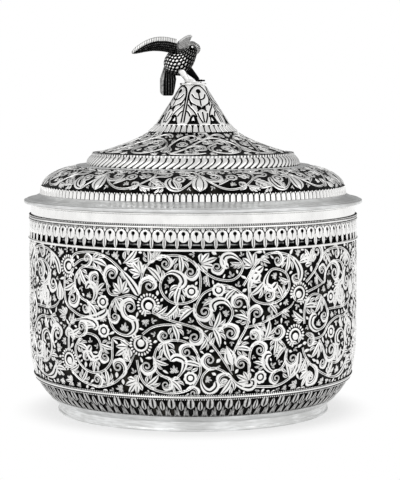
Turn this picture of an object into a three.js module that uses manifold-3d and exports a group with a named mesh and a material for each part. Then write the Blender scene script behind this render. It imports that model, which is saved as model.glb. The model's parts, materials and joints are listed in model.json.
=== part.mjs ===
import * as THREE from 'three';
import { mergeVertices } from 'three/addons/utils/BufferGeometryUtils.js';
import Module from 'manifold-3d';

const wasm = await Module();
wasm.setup();

// Lidded silver box: millimetres, +Z up, origin on the table under the middle of the foot.

// Facets and repeats
const ringFacets = 48;
const smallFacets = 24;             // on the cap, the stud, the washer and the nut's hole
const bendSteps = 4;                // facets of the liner's round corner
const tongueCount = 86;             // tongues round the mouth border, with a hole under each
const tongueTurn = 1.3;             // degrees from the front to the nearest tongue
const gadroonCount = 96;
const coneMotifs = 5;
const motifTurn = 20;               // degrees from the front to the nearest motif of the cone
const archTurn = 18;                // degrees from a motif to the arches on either side

// Foot and floor
const footRadius = 72.1;
const footFlare = 0.4;              // how far the foot's lower edge stands out
const footEdge = 0.8;
const footHeight = 5.4;
const footWall = 3.2;
const floorThickness = 1.2;
const floorInset = 2.5;             // from the wall's face to the floor's edge

// Body wall
const wallThickness = 1.2;
const wallOverhang = 0.7;           // from the foot ring to the wall that stands on it
const bodyRadius = 87.3;
const bellyTop = 55;                // height where the wall is upright
const bellyPower = 4.4;
const leafBorderTop = 19.6;
const scrollTop = 92.7;
const mouthBorderTop = 104;
const rimTop = 111;
const mouthTaper = 1.1;             // the wall leans in this much towards the mouth
const taperStart = 84;
const rimThickness = 1.7;
const rimLip = 0.5;
const rimFillet = 1.4;              // height of the slope from the wall's inner face to the rim's

// Relief of the scroll field: its main scrolls and flowers
const fieldRepeats = 3;             // times that the pattern goes round the wall
const fieldRows = 5;                // bands of facets up the wall
const reliefHeight = 0.5;
const reliefRoot = 0.6;             // how far the relief is let into the wall
const ribWidth = 1.9;
const ribShoulder = 0.7;            // share of a rib's width that its crest keeps
const ribSteps = 6;
const scrollWind = 0.4;             // share of its size that a scroll loses on its way in
const flowerRadius = 5.4;
const flowerSides = 6;

// Holes of the mouth border: they widen downwards
const holeSill = 0.9;               // from the scroll field to the holes
const holeHeight = 2.8;
const holeTopWidth = 2.2;
const holeFootWidth = 4.5;

// Wires
const wireWidth = 1.3;
const wireProud = 0.6;
const wireGap = 0.3;

// Liner
const linerGap = 1.4;               // between the liner and the mouth
const linerWall = 0.9;
const linerRise = 1.4;              // from the scroll field's top to the liner's edge
const linerFloorInset = 13.7;       // from the wall's foot in to where the liner's floor is flat
const linerRimRadius = 0.9;

// Lid
const lidGap = 0.2;
const flangeOverhang = 3.8;         // past the wall at the mouth
const flangeEdge = 1.6;
const flangeRound = 0.6;
const flangeRise = 3.2;
const bezelGap = 0.6;
const bezelWall = 1.1;
const bezelDepth = 6.6;
const bezelLead = 0.4;              // how far the bezel's lower edge draws in
const bezelLeadHeight = 0.8;
const domeInset = 8.8;              // from the flange's edge to the tongue border
const tongueLean = 0.5;
const tongueBorderHeight = 4.2;
const domeReach = 18.3;             // from the dome's foot in to its top
const domeRise = 10.2;
const domePower = 1.7;
const domeSteps = 5;
const liningThickness = 0.6;
const liningGap = 0.3;
const liningSteps = 3;
const domeLiningSteps = 2;
const stepSeat = 1.8;               // the dome's flat landing under the step plate
const stepWidth = 5.6;
const stepThickness = 0.6;
const stepLap = 4;                  // how far the step plate reaches in under the gadroon ring
const gadroonProud = 0.3;           // how far the lobes reach out over the step
const gadroonHeight = 5.2;
const gadroonBulge = 3.2;
const gadroonPower = 2.2;
const gadroonWidth = 5.4;           // from the lobes' widest line in to the ring's inner face
const gadroonDepth = 0.8;
const gadroonTwist = 1.1;           // lobes of lean from the top edge to the bottom edge
const milledRise = 1.2;
const milledWidth = 2.6;
const milledLap = 1.6;              // how far the milled ring reaches in under the flare
const milledRound = 0.25;

// Spire: the flared scroll band, the neck border and the pierced cone
const flareHeight = 11.1;
const flareSteps = 4;
const neckHeight = 3.9;
const coneTopRadius = 6.6;
const coneSlope = 0.635;
const coneHeight = 20.8;
const archSill = 0.6;               // from the cone's foot to its arches
const archFootWidth = 5;
const archWidth = 3.4;
const archHeight = 5.2;
const eyeWidth = 3.6;               // the hole under each motif
const eyeHeight = 2.2;
const eyeRise = 7.4;                // from the cone's foot to it

// Cap, stud and nut
const capRadius = 7.1;
const capThickness = 1.1;
const capRound = 0.3;
const studRadius = 1.5;
const studLength = 8;
const studGap = 0.1;
const studHeadRadius = 4.6;
const studHeadHeight = 0.6;
const washerRadius = 4;
const washerThickness = 0.8;
const nutRadius = 3.2;
const nutHeight = 2.4;

// Bird: it looks to the right and a little to the front, with one wing out to the left
const birdHeight = 25.9;            // from the perch to the tip of the far wing
const birdFacets = 14;
const bodyDepth = 14.4;             // through the breast
const headWidth = 7.2;
const beakWidth = 2.6;
const wingSpan = 24.2;
const wingChord = 8.9;
const wingThickness = 0.9;
const wingArch = 2.9;               // how far the near wing's middle rises over its ends
const farWingSpan = 17.4;
const farWingArch = 1.6;
const wingSteps = 7;
const tailLength = 15.4;
const tailWidth = 8.2;
const tailThickness = 1.1;
const tailCorner = 1.8;
const tailTurn = 42;                // degrees that the tail's width turns from the front
const legThickness = 3.2;
const toeLength = 2.6;
const toeThickness = 1.1;
const toeSpread = 35;
const seatGap = 0.3;                // between the bird's separate pieces

// Heights that follow from the sizes above
const floorZ = footHeight;
const linerBase = floorZ + floorThickness;
const linerTop = scrollTop + linerRise;
const flangeZ = rimTop + lidGap;
const domeBase = flangeZ + flangeEdge + flangeRise;
const domeStart = domeBase + tongueBorderHeight;
const stepZ = domeStart + domeRise;
const gadroonZ = stepZ + stepThickness;
const gadroonTop = gadroonZ + gadroonHeight;
const flareZ = gadroonTop + milledRise;
const neckZ = flareZ + flareHeight;
const coneZ = neckZ + neckHeight;
const coneTop = coneZ + coneHeight;
const capTop = coneTop + capThickness;
const perch = capTop + studHeadHeight;

// Radii that follow from the sizes above
const wallFoot = footRadius + wallOverhang;
const mouthRadius = bodyRadius - mouthTaper - rimThickness;
const linerRadius = mouthRadius - linerGap;
const linerCorner = linerRadius - wallFoot + linerFloorInset;
const bezelRadius = mouthRadius - bezelGap;
const flangeRadius = bodyRadius - mouthTaper + flangeOverhang;
const domeRadius = flangeRadius - domeInset;
const domeFoot = domeRadius - tongueLean;
const domeTopRadius = domeFoot - domeReach;
const stepInner = domeTopRadius - stepWidth;
const gadroonRadius = stepInner + gadroonProud;
const gadroonInner = gadroonRadius - gadroonBulge;
const flareFoot = gadroonInner - milledWidth;
const flareReach = flareFoot - coneTopRadius - coneSlope * (coneTop - flareZ);

const polished = () => new THREE.MeshStandardMaterial({ color: 0xdfe2e2, roughness: 0.18, metalness: 1 });
const chased = () => new THREE.MeshStandardMaterial({ color: 0xc9cbc8, roughness: 0.35, metalness: 1 });
const darkened = () => new THREE.MeshStandardMaterial({ color: 0x3c3d3c, roughness: 0.5, metalness: 0.9 });

// Radius of the body's outer face at height z
function wallRadius(z) {
  const t = Math.min(1, Math.max(0, (z - floorZ) / (bellyTop - floorZ)));
  const taper = mouthTaper * Math.max(0, (z - taperStart) / (rimTop - taperStart));
  return bodyRadius - (bodyRadius - wallFoot) * Math.pow(1 - t, bellyPower) - taper;
}

// Radius of the spire's outer face at height z: a cone that flares out below its foot
function spireRadius(z) {
  const flare = Math.max(0, (coneZ - z) / (coneZ - flareZ));
  return coneTopRadius + coneSlope * (coneTop - z) + flareReach * flare * flare;
}

function span(from, to, steps, place) {
  return Array.from({ length: steps + 1 }, (_, i) => place(from + (to - from) * i / steps));
}

// A closed outline [radius, height] turned about the Z axis
function turned(outline, facets = ringFacets) {
  const area = outline.reduce((sum, p, i) => {
    const q = outline[(i + 1) % outline.length];
    return sum + p[0] * q[1] - q[0] * p[1];
  }, 0);
  const ordered = area > 0 ? outline : [...outline].reverse();
  const onAxis = ordered.some((p) => p[0] === 0);
  const points = ordered.map((p) => new THREE.Vector2(p[0], p[1]));
  if (onAxis) {
    while (points[0].x !== 0 || points[points.length - 1].x !== 0) points.push(points.shift());
  } else {
    points.push(points[0].clone());
  }
  return closed(new THREE.LatheGeometry(points, facets).rotateX(Math.PI / 2));
}

// Merges shared corners so that a geometry is one closed body
function closed(geometry) {
  const bare = geometry.clone();
  bare.deleteAttribute('normal');
  bare.deleteAttribute('uv');
  const merged = mergeVertices(bare, 1e-4);
  const index = merged.index.array;
  const kept = [];
  for (let i = 0; i < index.length; i += 3) {
    const [a, b, c] = [index[i], index[i + 1], index[i + 2]];
    if (a !== b && b !== c && c !== a) kept.push(a, b, c);
  }
  merged.setIndex(kept);
  return merged;
}

function solid(geometry) {
  const bare = closed(geometry);
  return new wasm.Manifold(new wasm.Mesh({
    numProp: 3,
    vertProperties: new Float32Array(bare.attributes.position.array),
    triVerts: new Uint32Array(bare.index.array),
  }));
}

function surface(manifold) {
  const mesh = manifold.getMesh();
  const geometry = new THREE.BufferGeometry();
  geometry.setAttribute('position', new THREE.BufferAttribute(new Float32Array(mesh.vertProperties), 3));
  geometry.setIndex(new THREE.BufferAttribute(new Uint32Array(mesh.triVerts), 1));
  return geometry;
}

// A wall of even thickness under an outer line of [radius, height] points, level at both ends
function shell(outer, thickness) {
  const inner = outer.map((p, i) => {
    const a = outer[Math.max(0, i - 1)];
    const b = outer[Math.min(outer.length - 1, i + 1)];
    const [dr, dz] = [b[0] - a[0], b[1] - a[1]];
    const run = Math.hypot(dr, dz);
    const [nr, nz] = [-dz / run, dr / run];
    const isEnd = i === 0 || i === outer.length - 1;
    if (!isEnd) return [p[0] + nr * thickness, p[1] + nz * thickness];
    return [p[0] - thickness / Math.max(0.35, Math.abs(dz / run)), p[1]];
  });
  return [...outer, ...inner.reverse()];
}

const box = new THREE.Group();
const base = new THREE.Group();
const liner = new THREE.Group();
const lid = new THREE.Group();
box.add(base, liner, lid);

function add(group, name, geometry, material) {
  const mesh = new THREE.Mesh(geometry, material);
  mesh.name = name;
  group.add(mesh);
  return mesh;
}

// A half-round wire laid round the wall at height z
function wire(z) {
  const seat = wallRadius(z) + wireGap;
  return turned([
    [seat, z - wireWidth / 2], [seat + wireProud, z - wireWidth / 5],
    [seat + wireProud, z + wireWidth / 5], [seat, z + wireWidth / 2],
  ]);
}

function footRing() {
  return turned([
    [footRadius - footWall, 0], [footRadius + footFlare, 0], [footRadius + footFlare, footEdge],
    [footRadius, footHeight], [footRadius - footWall, footHeight],
  ]);
}

function floorPlate() {
  const radius = wallRadius(floorZ) - floorInset;
  return turned([[0, floorZ], [radius, floorZ], [radius, linerBase], [0, linerBase]]);
}

function wallBand(from, to, steps, facets) {
  return turned(shell(span(from, to, steps, (z) => [wallRadius(z), z]), wallThickness), facets);
}

// The scrolls of one repeat: degrees from the front, height and size as shares of the field's
// height, then the angle where each starts and how far it winds, in degrees
const scrolls = [
  [-6.6, 0.8, 0.18, 195, -330],
  [-6.6, 0.2, 0.17, 165, 330],
  [8.5, 0.6, 0.17, 290, 330],
  [28.2, 0.77, 0.16, 200, -330],
  [25.6, 0.24, 0.15, 165, -330],
  [-35.4, 0.74, 0.16, 10, 330],
  [-34.8, 0.27, 0.16, 30, -330],
  [45.9, 0.54, 0.14, 200, -320],
  [56.4, 0.79, 0.14, 190, 300],
  [58, 0.27, 0.14, 165, 330],
];

// The flowers of one repeat: degrees from the front, and height as a share of the field's
const flowers = [[-14.4, 0.63], [-17, 0.36], [37.7, 0.68], [36, 0.4], [-46, 0.86], [-46, 0.21]];

// A place on the scroll field: across and up in the flat from a turn and a share of the height
function onField(turn, rise, across, up, height) {
  const z = leafBorderTop + rise * (scrollTop - leafBorderTop) + up;
  const angle = THREE.MathUtils.degToRad(turn) + across / bodyRadius;
  const radius = wallRadius(z) + height;
  return new THREE.Vector3(radius * Math.sin(angle), -radius * Math.cos(angle), z);
}

// A rib wound inwards
function scrollRib([turn, rise, size, start, sweep]) {
  const crest = ribWidth * ribShoulder;
  const outline = [
    [-ribWidth / 2, -reliefRoot], [-crest / 2, reliefHeight],
    [crest / 2, reliefHeight], [ribWidth / 2, -reliefRoot],
  ];
  return orient(skin(span(0, 1, ribSteps, (t) => {
    const angle = THREE.MathUtils.degToRad(start + sweep * t);
    const reach = size * (scrollTop - leafBorderTop) * (1 - scrollWind * t);
    return outline.map(([offset, height]) => onField(turn, rise,
      (reach + offset) * Math.cos(angle), (reach + offset) * Math.sin(angle), height));
  })));
}

function fieldFlower([turn, rise]) {
  const ring = (radius, height) => span(0, flowerSides - 1, flowerSides - 1, (i) => {
    const angle = 2 * Math.PI * i / flowerSides;
    return onField(turn, rise, radius * Math.cos(angle), radius * Math.sin(angle), height);
  });
  return orient(skin([ring(flowerRadius, -reliefRoot), ring(flowerRadius - reliefHeight, reliefHeight)]));
}

function scrollWall() {
  const relief = [...scrolls.map(scrollRib), ...flowers.map(fieldFlower)]
    .map((geometry) => solid(geometry))
    .reduce((joined, piece) => joined.add(piece));
  const wall = solid(wallBand(leafBorderTop, scrollTop, fieldRows));
  return surface(repeats(fieldRepeats, 0)
    .reduce((joined, turn) => joined.add(relief.rotate([0, 0, turn])), wall));
}

// The mouth border is pierced under each tongue
function mouthBorder() {
  const band = solid(wallBand(scrollTop, mouthBorderTop, 1, tongueCount));
  const low = scrollTop + holeSill;
  const hole = new THREE.Shape([
    new THREE.Vector2(-holeFootWidth / 2, low), new THREE.Vector2(holeFootWidth / 2, low),
    new THREE.Vector2(holeTopWidth / 2, low + holeHeight),
    new THREE.Vector2(-holeTopWidth / 2, low + holeHeight),
  ]);
  const turns = repeats(tongueCount, tongueTurn);
  return surface(pierce(band, hole, turns, wallRadius(scrollTop)));
}

// Even turns round the axis, in degrees from the front towards the right
function repeats(count, first) {
  return Array.from({ length: count }, (_, i) => first + i * 360 / count);
}

// Cuts copies of a hole, drawn as width against height, through a wall at a radius
function pierce(wall, hole, turns, radius) {
  const depth = 5 * wallThickness;
  const cutter = solid(new THREE.ExtrudeGeometry(hole, { depth, bevelEnabled: false })
    .translate(0, 0, -depth / 2).rotateX(Math.PI / 2));
  const placed = cutter.translate([0, wallThickness / 2 - radius, 0]);
  return turns.reduce((cut, turn) => cut.subtract(placed.rotate([0, 0, turn])), wall);
}

function rimBand() {
  return turned([
    [wallRadius(mouthBorderTop) - wallThickness, mouthBorderTop],
    [wallRadius(mouthBorderTop), mouthBorderTop],
    [wallRadius(rimTop), rimTop - 2 * rimLip],
    [wallRadius(rimTop) + rimLip, rimTop - rimLip],
    [wallRadius(rimTop) + rimLip / 2, rimTop],
    [mouthRadius, rimTop],
    [mouthRadius, mouthBorderTop + rimFillet],
  ]);
}

function linerCup() {
  const bend = (radius) => span(0, 90, bendSteps, (deg) => {
    const angle = THREE.MathUtils.degToRad(deg);
    return [linerRadius - linerCorner + radius * Math.sin(angle),
      linerBase + linerCorner - radius * Math.cos(angle)];
  });
  return turned([
    [0, linerBase], ...bend(linerCorner), [linerRadius, linerTop],
    [linerRadius - linerWall, linerTop],
    ...bend(linerCorner - linerWall).reverse(), [0, linerBase + linerWall],
  ]);
}

// The liner's rolled edge
function linerRim() {
  const middle = linerRadius - linerWall / 2;
  const sides = 6;
  return turned(span(0, sides - 1, sides - 1, (i) => {
    const angle = 2 * Math.PI * i / sides;
    return [middle + linerRimRadius * Math.cos(angle),
      linerTop + linerRimRadius * (1 + Math.sin(angle))];
  }));
}

function lidFlange() {
  return turned([
    [bezelRadius - bezelWall, flangeZ], [flangeRadius - flangeRound, flangeZ],
    [flangeRadius, flangeZ + flangeEdge / 2], [flangeRadius - flangeRound, flangeZ + flangeEdge],
    [domeRadius + flangeRound, domeBase], [domeRadius - wallThickness, domeBase],
  ]);
}

function lidBezel() {
  const low = flangeZ - bezelDepth;
  return turned([
    [bezelRadius - bezelWall, low], [bezelRadius - bezelLead, low],
    [bezelRadius, low + bezelLeadHeight], [bezelRadius, flangeZ], [bezelRadius - bezelWall, flangeZ],
  ]);
}

function lidTongueBorder() {
  return turned(shell([[domeRadius, domeBase], [domeFoot, domeStart]], wallThickness));
}

function domeLine(steps) {
  const line = span(0, 90, steps, (deg) => {
    const angle = THREE.MathUtils.degToRad(deg);
    return [domeTopRadius + domeReach * Math.pow(Math.max(0, Math.cos(angle)), 2 / domePower),
      domeStart + domeRise * Math.pow(Math.sin(angle), 2 / domePower)];
  });
  return [...line, [domeTopRadius - stepSeat, stepZ]];
}

// The dome's line moved in by a distance: straight in at its foot and straight down at its top
function insideDome(distance, steps) {
  const line = domeLine(steps);
  return line.map((p, i) => {
    if (i === 0) return [p[0] - distance, p[1]];
    if (i >= line.length - 2) return [p[0], p[1] - distance];
    const [dr, dz] = [line[i + 1][0] - line[i - 1][0], line[i + 1][1] - line[i - 1][1]];
    const run = Math.hypot(dr, dz);
    return [p[0] - distance * dz / run, p[1] + distance * dr / run];
  });
}

function lidDome() {
  return turned([...domeLine(domeSteps), ...insideDome(wallThickness, domeSteps).reverse()]);
}

function domeLining() {
  const near = insideDome(wallThickness + liningGap, domeLiningSteps);
  const far = insideDome(wallThickness + liningGap + liningThickness, domeLiningSteps);
  return turned([...near, ...far.reverse()]);
}

function lidStep() {
  return turned([
    [stepInner - stepLap, stepZ], [domeTopRadius, stepZ],
    [domeTopRadius + stepThickness / 2, stepZ + stepThickness / 2],
    [domeTopRadius, gadroonZ], [stepInner - stepLap, gadroonZ],
  ]);
}

// The gadroon ring: leaning lobes, made by shifting each row of a fluted ring round the axis
function gadroonRing() {
  const rows = 2;
  const facets = gadroonCount * 2;
  const inner = gadroonRadius - gadroonWidth;
  const line = span(0, 1, rows, (t) => [
    gadroonRadius - gadroonBulge * Math.pow(t, gadroonPower), gadroonZ + gadroonHeight * t, t]);
  const loop = [[inner, gadroonZ, 0], ...line, [inner, gadroonTop, 1]];
  const positions = [];
  for (const [radius, z, t] of loop) {
    for (let i = 0; i < facets; i++) {
      const isOuter = radius > inner;
      const bulge = isOuter && i % 2 && t > 0 && t < 1 ? gadroonDepth * Math.sin(Math.PI * t) : 0;
      const angle = (i / 2 + gadroonTwist * t) * 2 * Math.PI / gadroonCount;
      positions.push((radius - bulge) * Math.cos(angle), (radius - bulge) * Math.sin(angle), z);
    }
  }
  return ringSurface(positions, loop.length, facets);
}

// Joins rows of points round the axis into one closed ring
function ringSurface(positions, rows, facets) {
  const index = [];
  for (let r = 0; r < rows; r++) {
    const s = (r + 1) % rows;
    for (let i = 0; i < facets; i++) {
      const j = (i + 1) % facets;
      index.push(r * facets + i, r * facets + j, s * facets + j);
      index.push(r * facets + i, s * facets + j, s * facets + i);
    }
  }
  const geometry = new THREE.BufferGeometry();
  geometry.setAttribute('position', new THREE.Float32BufferAttribute(positions, 3));
  geometry.setIndex(index);
  return geometry;
}

function milledRing() {
  return turned([
    [flareFoot - milledLap, gadroonTop], [gadroonInner, gadroonTop],
    [gadroonInner - milledRound, gadroonTop + milledRound],
    [flareFoot, flareZ], [flareFoot - milledLap, flareZ],
  ]);
}

function spireBand(from, to, steps, inset = 0, thickness = wallThickness, facets = ringFacets) {
  const line = span(from, to, steps, (z) => [spireRadius(z), z]);
  const under = inset ? shell(line, inset).slice(line.length).reverse() : line;
  return turned(shell(under, thickness), facets);
}

// A hole with a level sill, upright sides that spread at the foot, and a round head
function arch(foot, width, height, low) {
  const shape = new THREE.Shape();
  shape.moveTo(-foot / 2, low);
  shape.lineTo(foot / 2, low);
  shape.lineTo(width / 2, low + height / 2);
  shape.quadraticCurveTo(width / 2, low + height, 0, low + height);
  shape.quadraticCurveTo(-width / 2, low + height, -width / 2, low + height / 2);
  return new THREE.Shape(shape.getPoints(3));
}

// The cone is pierced by two arches and a small eye to each motif
function pierceCone() {
  const low = coneZ + archSill;
  const eyeZ = coneZ + eyeRise;
  const motifs = repeats(coneMotifs, motifTurn);
  const arches = motifs.flatMap((turn) => [turn - archTurn, turn + archTurn]);
  const opening = arch(archFootWidth, archWidth, archHeight, low);
  const eye = arch(eyeWidth, eyeWidth, eyeHeight, eyeZ);
  let cone = solid(spireBand(coneZ, coneTop, 2, 0, wallThickness, coneMotifs * 8));
  cone = pierce(cone, opening, arches, spireRadius(low + archHeight / 2));
  return surface(pierce(cone, eye, motifs, spireRadius(eyeZ)));
}

function flareLining() {
  return spireBand(flareZ, neckZ, liningSteps, wallThickness + liningGap, liningThickness);
}

function capPlate() {
  return turned([
    [studRadius + studGap, coneTop], [capRadius - capRound, coneTop],
    [capRadius, coneTop + capThickness / 2],
    [capRadius - capRound, capTop], [studRadius + studGap, capTop],
  ], smallFacets);
}

// A place in the bird's own frame, in shares of its height from the middle of the perch
function at(x, y, rise) {
  return new THREE.Vector3(x, y, rise).multiplyScalar(birdHeight).add(new THREE.Vector3(0, 0, perch));
}

// Skins a row of sections, each a ring of points, and closes both ends
function skin(sections) {
  const sides = sections[0].length;
  const positions = sections.flat().flatMap((p) => [p.x, p.y, p.z]);
  const index = [];
  for (let r = 0; r + 1 < sections.length; r++) {
    for (let i = 0; i < sides; i++) {
      const j = (i + 1) % sides;
      const [a, b, c, d] = [r * sides + i, r * sides + j, (r + 1) * sides + j, (r + 1) * sides + i];
      index.push(a, b, c, a, c, d);
    }
  }
  const last = (sections.length - 1) * sides;
  for (let i = 1; i + 1 < sides; i++) index.push(0, i + 1, i, last, last + i, last + i + 1);
  const geometry = new THREE.BufferGeometry();
  geometry.setAttribute('position', new THREE.Float32BufferAttribute(positions, 3));
  geometry.setIndex(index);
  return geometry;
}

// A limb: round sections of [centre, radius] along a bent line
function limb(stations, sides = birdFacets, grow = 0) {
  const curve = new THREE.CatmullRomCurve3(stations.map((s) => s[0]));
  const frames = curve.computeFrenetFrames(stations.length - 1, false);
  return skin(stations.map(([centre, radius], r) => {
    const size = radius + grow;
    return span(0, sides - 1, sides - 1, (i) => {
      const angle = 2 * Math.PI * i / sides;
      return centre.clone()
        .addScaledVector(frames.normals[r], size * Math.cos(angle))
        .addScaledVector(frames.binormals[r], size * Math.sin(angle));
    });
  }));
}

function birdTrunk(grow = 0) {
  const breast = bodyDepth / 2;
  const head = headWidth / 2;
  return limb([
    [at(-0.57, 0.21, 0.25), 0.08 * breast], [at(-0.52, 0.19, 0.28), 0.44 * breast],
    [at(-0.43, 0.13, 0.34), 0.8 * breast], [at(-0.33, 0.06, 0.39), breast],
    [at(-0.23, -0.01, 0.44), 0.94 * breast], [at(-0.13, -0.08, 0.52), 0.72 * breast],
    [at(-0.06, -0.13, 0.61), 1.08 * head], [at(-0.02, -0.15, 0.7), head],
    [at(-0.01, -0.16, 0.77), 0.83 * head], [at(0, -0.17, 0.82), 0.28 * head],
  ], birdFacets, grow);
}

function clearOf(geometry, ...others) {
  return surface(others.reduce((left, other) => left.subtract(solid(other)), solid(geometry)));
}

// A hooked beak that curves down from the face
function birdBeak() {
  return clearOf(limb([
    [at(0.06, -0.24, 0.74), 0.5 * beakWidth], [at(0.11, -0.28, 0.69), 0.46 * beakWidth],
    [at(0.11, -0.3, 0.63), 0.32 * beakWidth], [at(0.07, -0.3, 0.57), 0.1 * beakWidth],
  ], 8), birdTrunk(seatGap));
}

// A wing: a cupped blade from its root to its tip, whose sections run across its chord
function wing(root, tip, lead, chord, archHeight) {
  const across = 5;
  const out = tip.clone().sub(root);
  const normal = new THREE.Vector3().crossVectors(lead, out).normalize();
  const cup = 0.18;
  const edge = 0.12;
  return skin(span(0, 1, wingSteps, (t) => {
    const centre = root.clone().lerp(tip, t);
    centre.z += archHeight * Math.sin(Math.PI * t);
    const width = chord * Math.sqrt(Math.max(0.004, 1 - t * t));
    const face = (side) => span(-1, 1, across, (v) => {
      const thin = wingThickness / 2 * side * Math.sqrt(Math.max(edge, 1 - v * v));
      return centre.clone().addScaledVector(lead, -v * width / 2)
        .addScaledVector(normal, cup * width * (1 - v * v) + thin);
    });
    return [...face(1), ...face(-1).reverse()];
  }));
}

// The near wing reaches out to the left
function nearWing() {
  const root = at(-0.33, -0.18, 0.71);
  const tip = root.clone().add(new THREE.Vector3(-0.99, 0, -0.12).multiplyScalar(wingSpan));
  const lead = new THREE.Vector3(0, -0.42, 0.91);
  return clearOf(orient(wing(root, tip, lead, wingChord, wingArch)), birdTrunk(seatGap));
}

// The far wing reaches away behind the head
function farWing() {
  const root = at(-0.28, 0.13, 0.71);
  const tip = root.clone().add(new THREE.Vector3(0.33, 0.9, 0.28).multiplyScalar(farWingSpan));
  const lead = new THREE.Vector3(-0.1, -0.1, 0.99);
  return clearOf(orient(wing(root, tip, lead, wingChord, farWingArch)), birdTrunk(seatGap));
}

// Turns a closed skin to face outwards
function orient(geometry) {
  if (solid(geometry).volume() > 0) return geometry;
  const index = Array.from(geometry.index.array);
  for (let i = 0; i < index.length; i += 3) [index[i + 1], index[i + 2]] = [index[i + 2], index[i + 1]];
  geometry.setIndex(index);
  return geometry;
}

// A flat tail with round lower corners, hanging down behind the cap
function birdTail() {
  const half = tailWidth / 2;
  const root = at(-0.525, 0.2, 0.31);
  const fan = new THREE.Shape();
  fan.moveTo(-0.8 * half, 0);
  fan.lineTo(-half, tailCorner - tailLength);
  fan.quadraticCurveTo(-half, -tailLength, tailCorner - half, -tailLength);
  fan.lineTo(half - tailCorner, -tailLength);
  fan.quadraticCurveTo(half, -tailLength, half, tailCorner - tailLength);
  fan.lineTo(0.8 * half, 0);
  const outline = new THREE.Shape(fan.getPoints(4));
  const sheet = new THREE.ExtrudeGeometry(outline, { depth: tailThickness, bevelEnabled: false })
    .rotateX(Math.PI / 2).rotateZ(THREE.MathUtils.degToRad(tailTurn)).translate(root.x, root.y, root.z);
  return clearOf(sheet, birdTrunk(seatGap));
}

// A leg with three toes forward and one back, cut level where it stands on the perch
function birdLeg(hip, knee, foot) {
  const ankle = foot.clone().setZ(perch + toeThickness / 2);
  const thigh = solid(limb([
    [hip, legThickness / 2], [hip.clone().lerp(knee, 0.5), 0.42 * legThickness],
    [knee, 0.3 * legThickness], [ankle, 0.26 * legThickness],
  ], 8));
  const ahead = new THREE.Vector3(0.77, -0.64, 0);
  const up = new THREE.Vector3(0, 0, 1);
  const leg = [-toeSpread, 0, toeSpread, 180].reduce((part, turn) => {
    const along = ahead.clone().applyAxisAngle(up, THREE.MathUtils.degToRad(turn));
    const reach = turn === 180 ? 0.6 * toeLength : toeLength;
    return part.add(solid(limb([
      [ankle, toeThickness / 2], [ankle.clone().addScaledVector(along, reach), toeThickness / 3],
    ], 6)));
  }, thigh);
  const size = birdHeight;
  const ground = solid(new THREE.BoxGeometry(size, size, size).translate(0, 0, perch - size / 2));
  return surface(leg.subtract(ground).subtract(solid(birdTrunk(seatGap))));
}

const nearLeg = () => birdLeg(at(-0.25, -0.1, 0.27), at(-0.17, -0.12, 0.12), at(-0.12, -0.12, 0));
const farLeg = () => birdLeg(at(-0.13, 0.06, 0.28), at(0.03, 0.07, 0.12), at(0.1, 0.08, 0));

function finialStud() {
  return turned([
    [0, capTop - studLength], [studRadius, capTop - studLength], [studRadius, capTop],
    [studHeadRadius, capTop], [studHeadRadius - capRound, perch], [0, perch],
  ], smallFacets);
}

function washer() {
  return turned([
    [studRadius + studGap, coneTop - washerThickness], [washerRadius, coneTop - washerThickness],
    [washerRadius, coneTop], [studRadius + studGap, coneTop],
  ], smallFacets);
}

function nut() {
  const corners = (count, radius) => span(0, count - 1, count - 1, (i) => new THREE.Vector2(
    radius * Math.cos(2 * Math.PI * i / count), radius * Math.sin(2 * Math.PI * i / count)));
  const hexagon = new THREE.Shape(corners(6, nutRadius));
  hexagon.holes.push(new THREE.Path(corners(smallFacets, studRadius + studGap)));
  return closed(new THREE.ExtrudeGeometry(hexagon, { depth: nutHeight, bevelEnabled: false })
    .translate(0, 0, coneTop - washerThickness - nutHeight));
}

add(base, 'foot_ring', footRing(), polished());
add(base, 'floor_plate', floorPlate(), polished());
add(base, 'leaf_border', wallBand(floorZ, leafBorderTop, 4), chased());
add(base, 'leaf_wire', wire(leafBorderTop), polished());
add(base, 'scroll_wall', scrollWall(), chased());
add(base, 'scroll_wire', wire(scrollTop), polished());
add(base, 'mouth_border', mouthBorder(), chased());
add(base, 'mouth_wire', wire(mouthBorderTop), polished());
add(base, 'rim_band', rimBand(), polished());
add(liner, 'liner_cup', linerCup(), darkened());
add(liner, 'liner_rim', linerRim(), polished());
add(lid, 'lid_flange', lidFlange(), polished());
add(lid, 'lid_bezel', lidBezel(), polished());
add(lid, 'lid_tongue_border', lidTongueBorder(), chased());
add(lid, 'lid_dome', lidDome(), chased());
add(lid, 'lid_step', lidStep(), polished());
add(lid, 'gadroon_ring', gadroonRing(), chased());
add(lid, 'milled_ring', milledRing(), chased());
add(lid, 'flare_band', spireBand(flareZ, neckZ, flareSteps), chased());
add(lid, 'neck_border', spireBand(neckZ, coneZ, 1), chased());
add(lid, 'finial_cone', pierceCone(), chased());
add(lid, 'cap_plate', capPlate(), polished());
add(lid, 'dome_lining', domeLining(), darkened());
add(lid, 'flare_lining', flareLining(), darkened());
add(lid, 'finial_stud', finialStud(), polished());
add(lid, 'finial_washer', washer(), polished());
add(lid, 'finial_nut', nut(), polished());
add(lid, 'bird_body', birdTrunk(), chased());
add(lid, 'bird_beak', birdBeak(), chased());
add(lid, 'bird_near_wing', nearWing(), chased());
add(lid, 'bird_far_wing', farWing(), chased());
add(lid, 'bird_tail', birdTail(), chased());
add(lid, 'bird_near_leg', nearLeg(), chased());
add(lid, 'bird_far_leg', farLeg(), chased());

export default box;
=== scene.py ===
import json
import math
import random

import bmesh
import bpy
import numpy as np
from mathutils import Matrix, Vector

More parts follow.
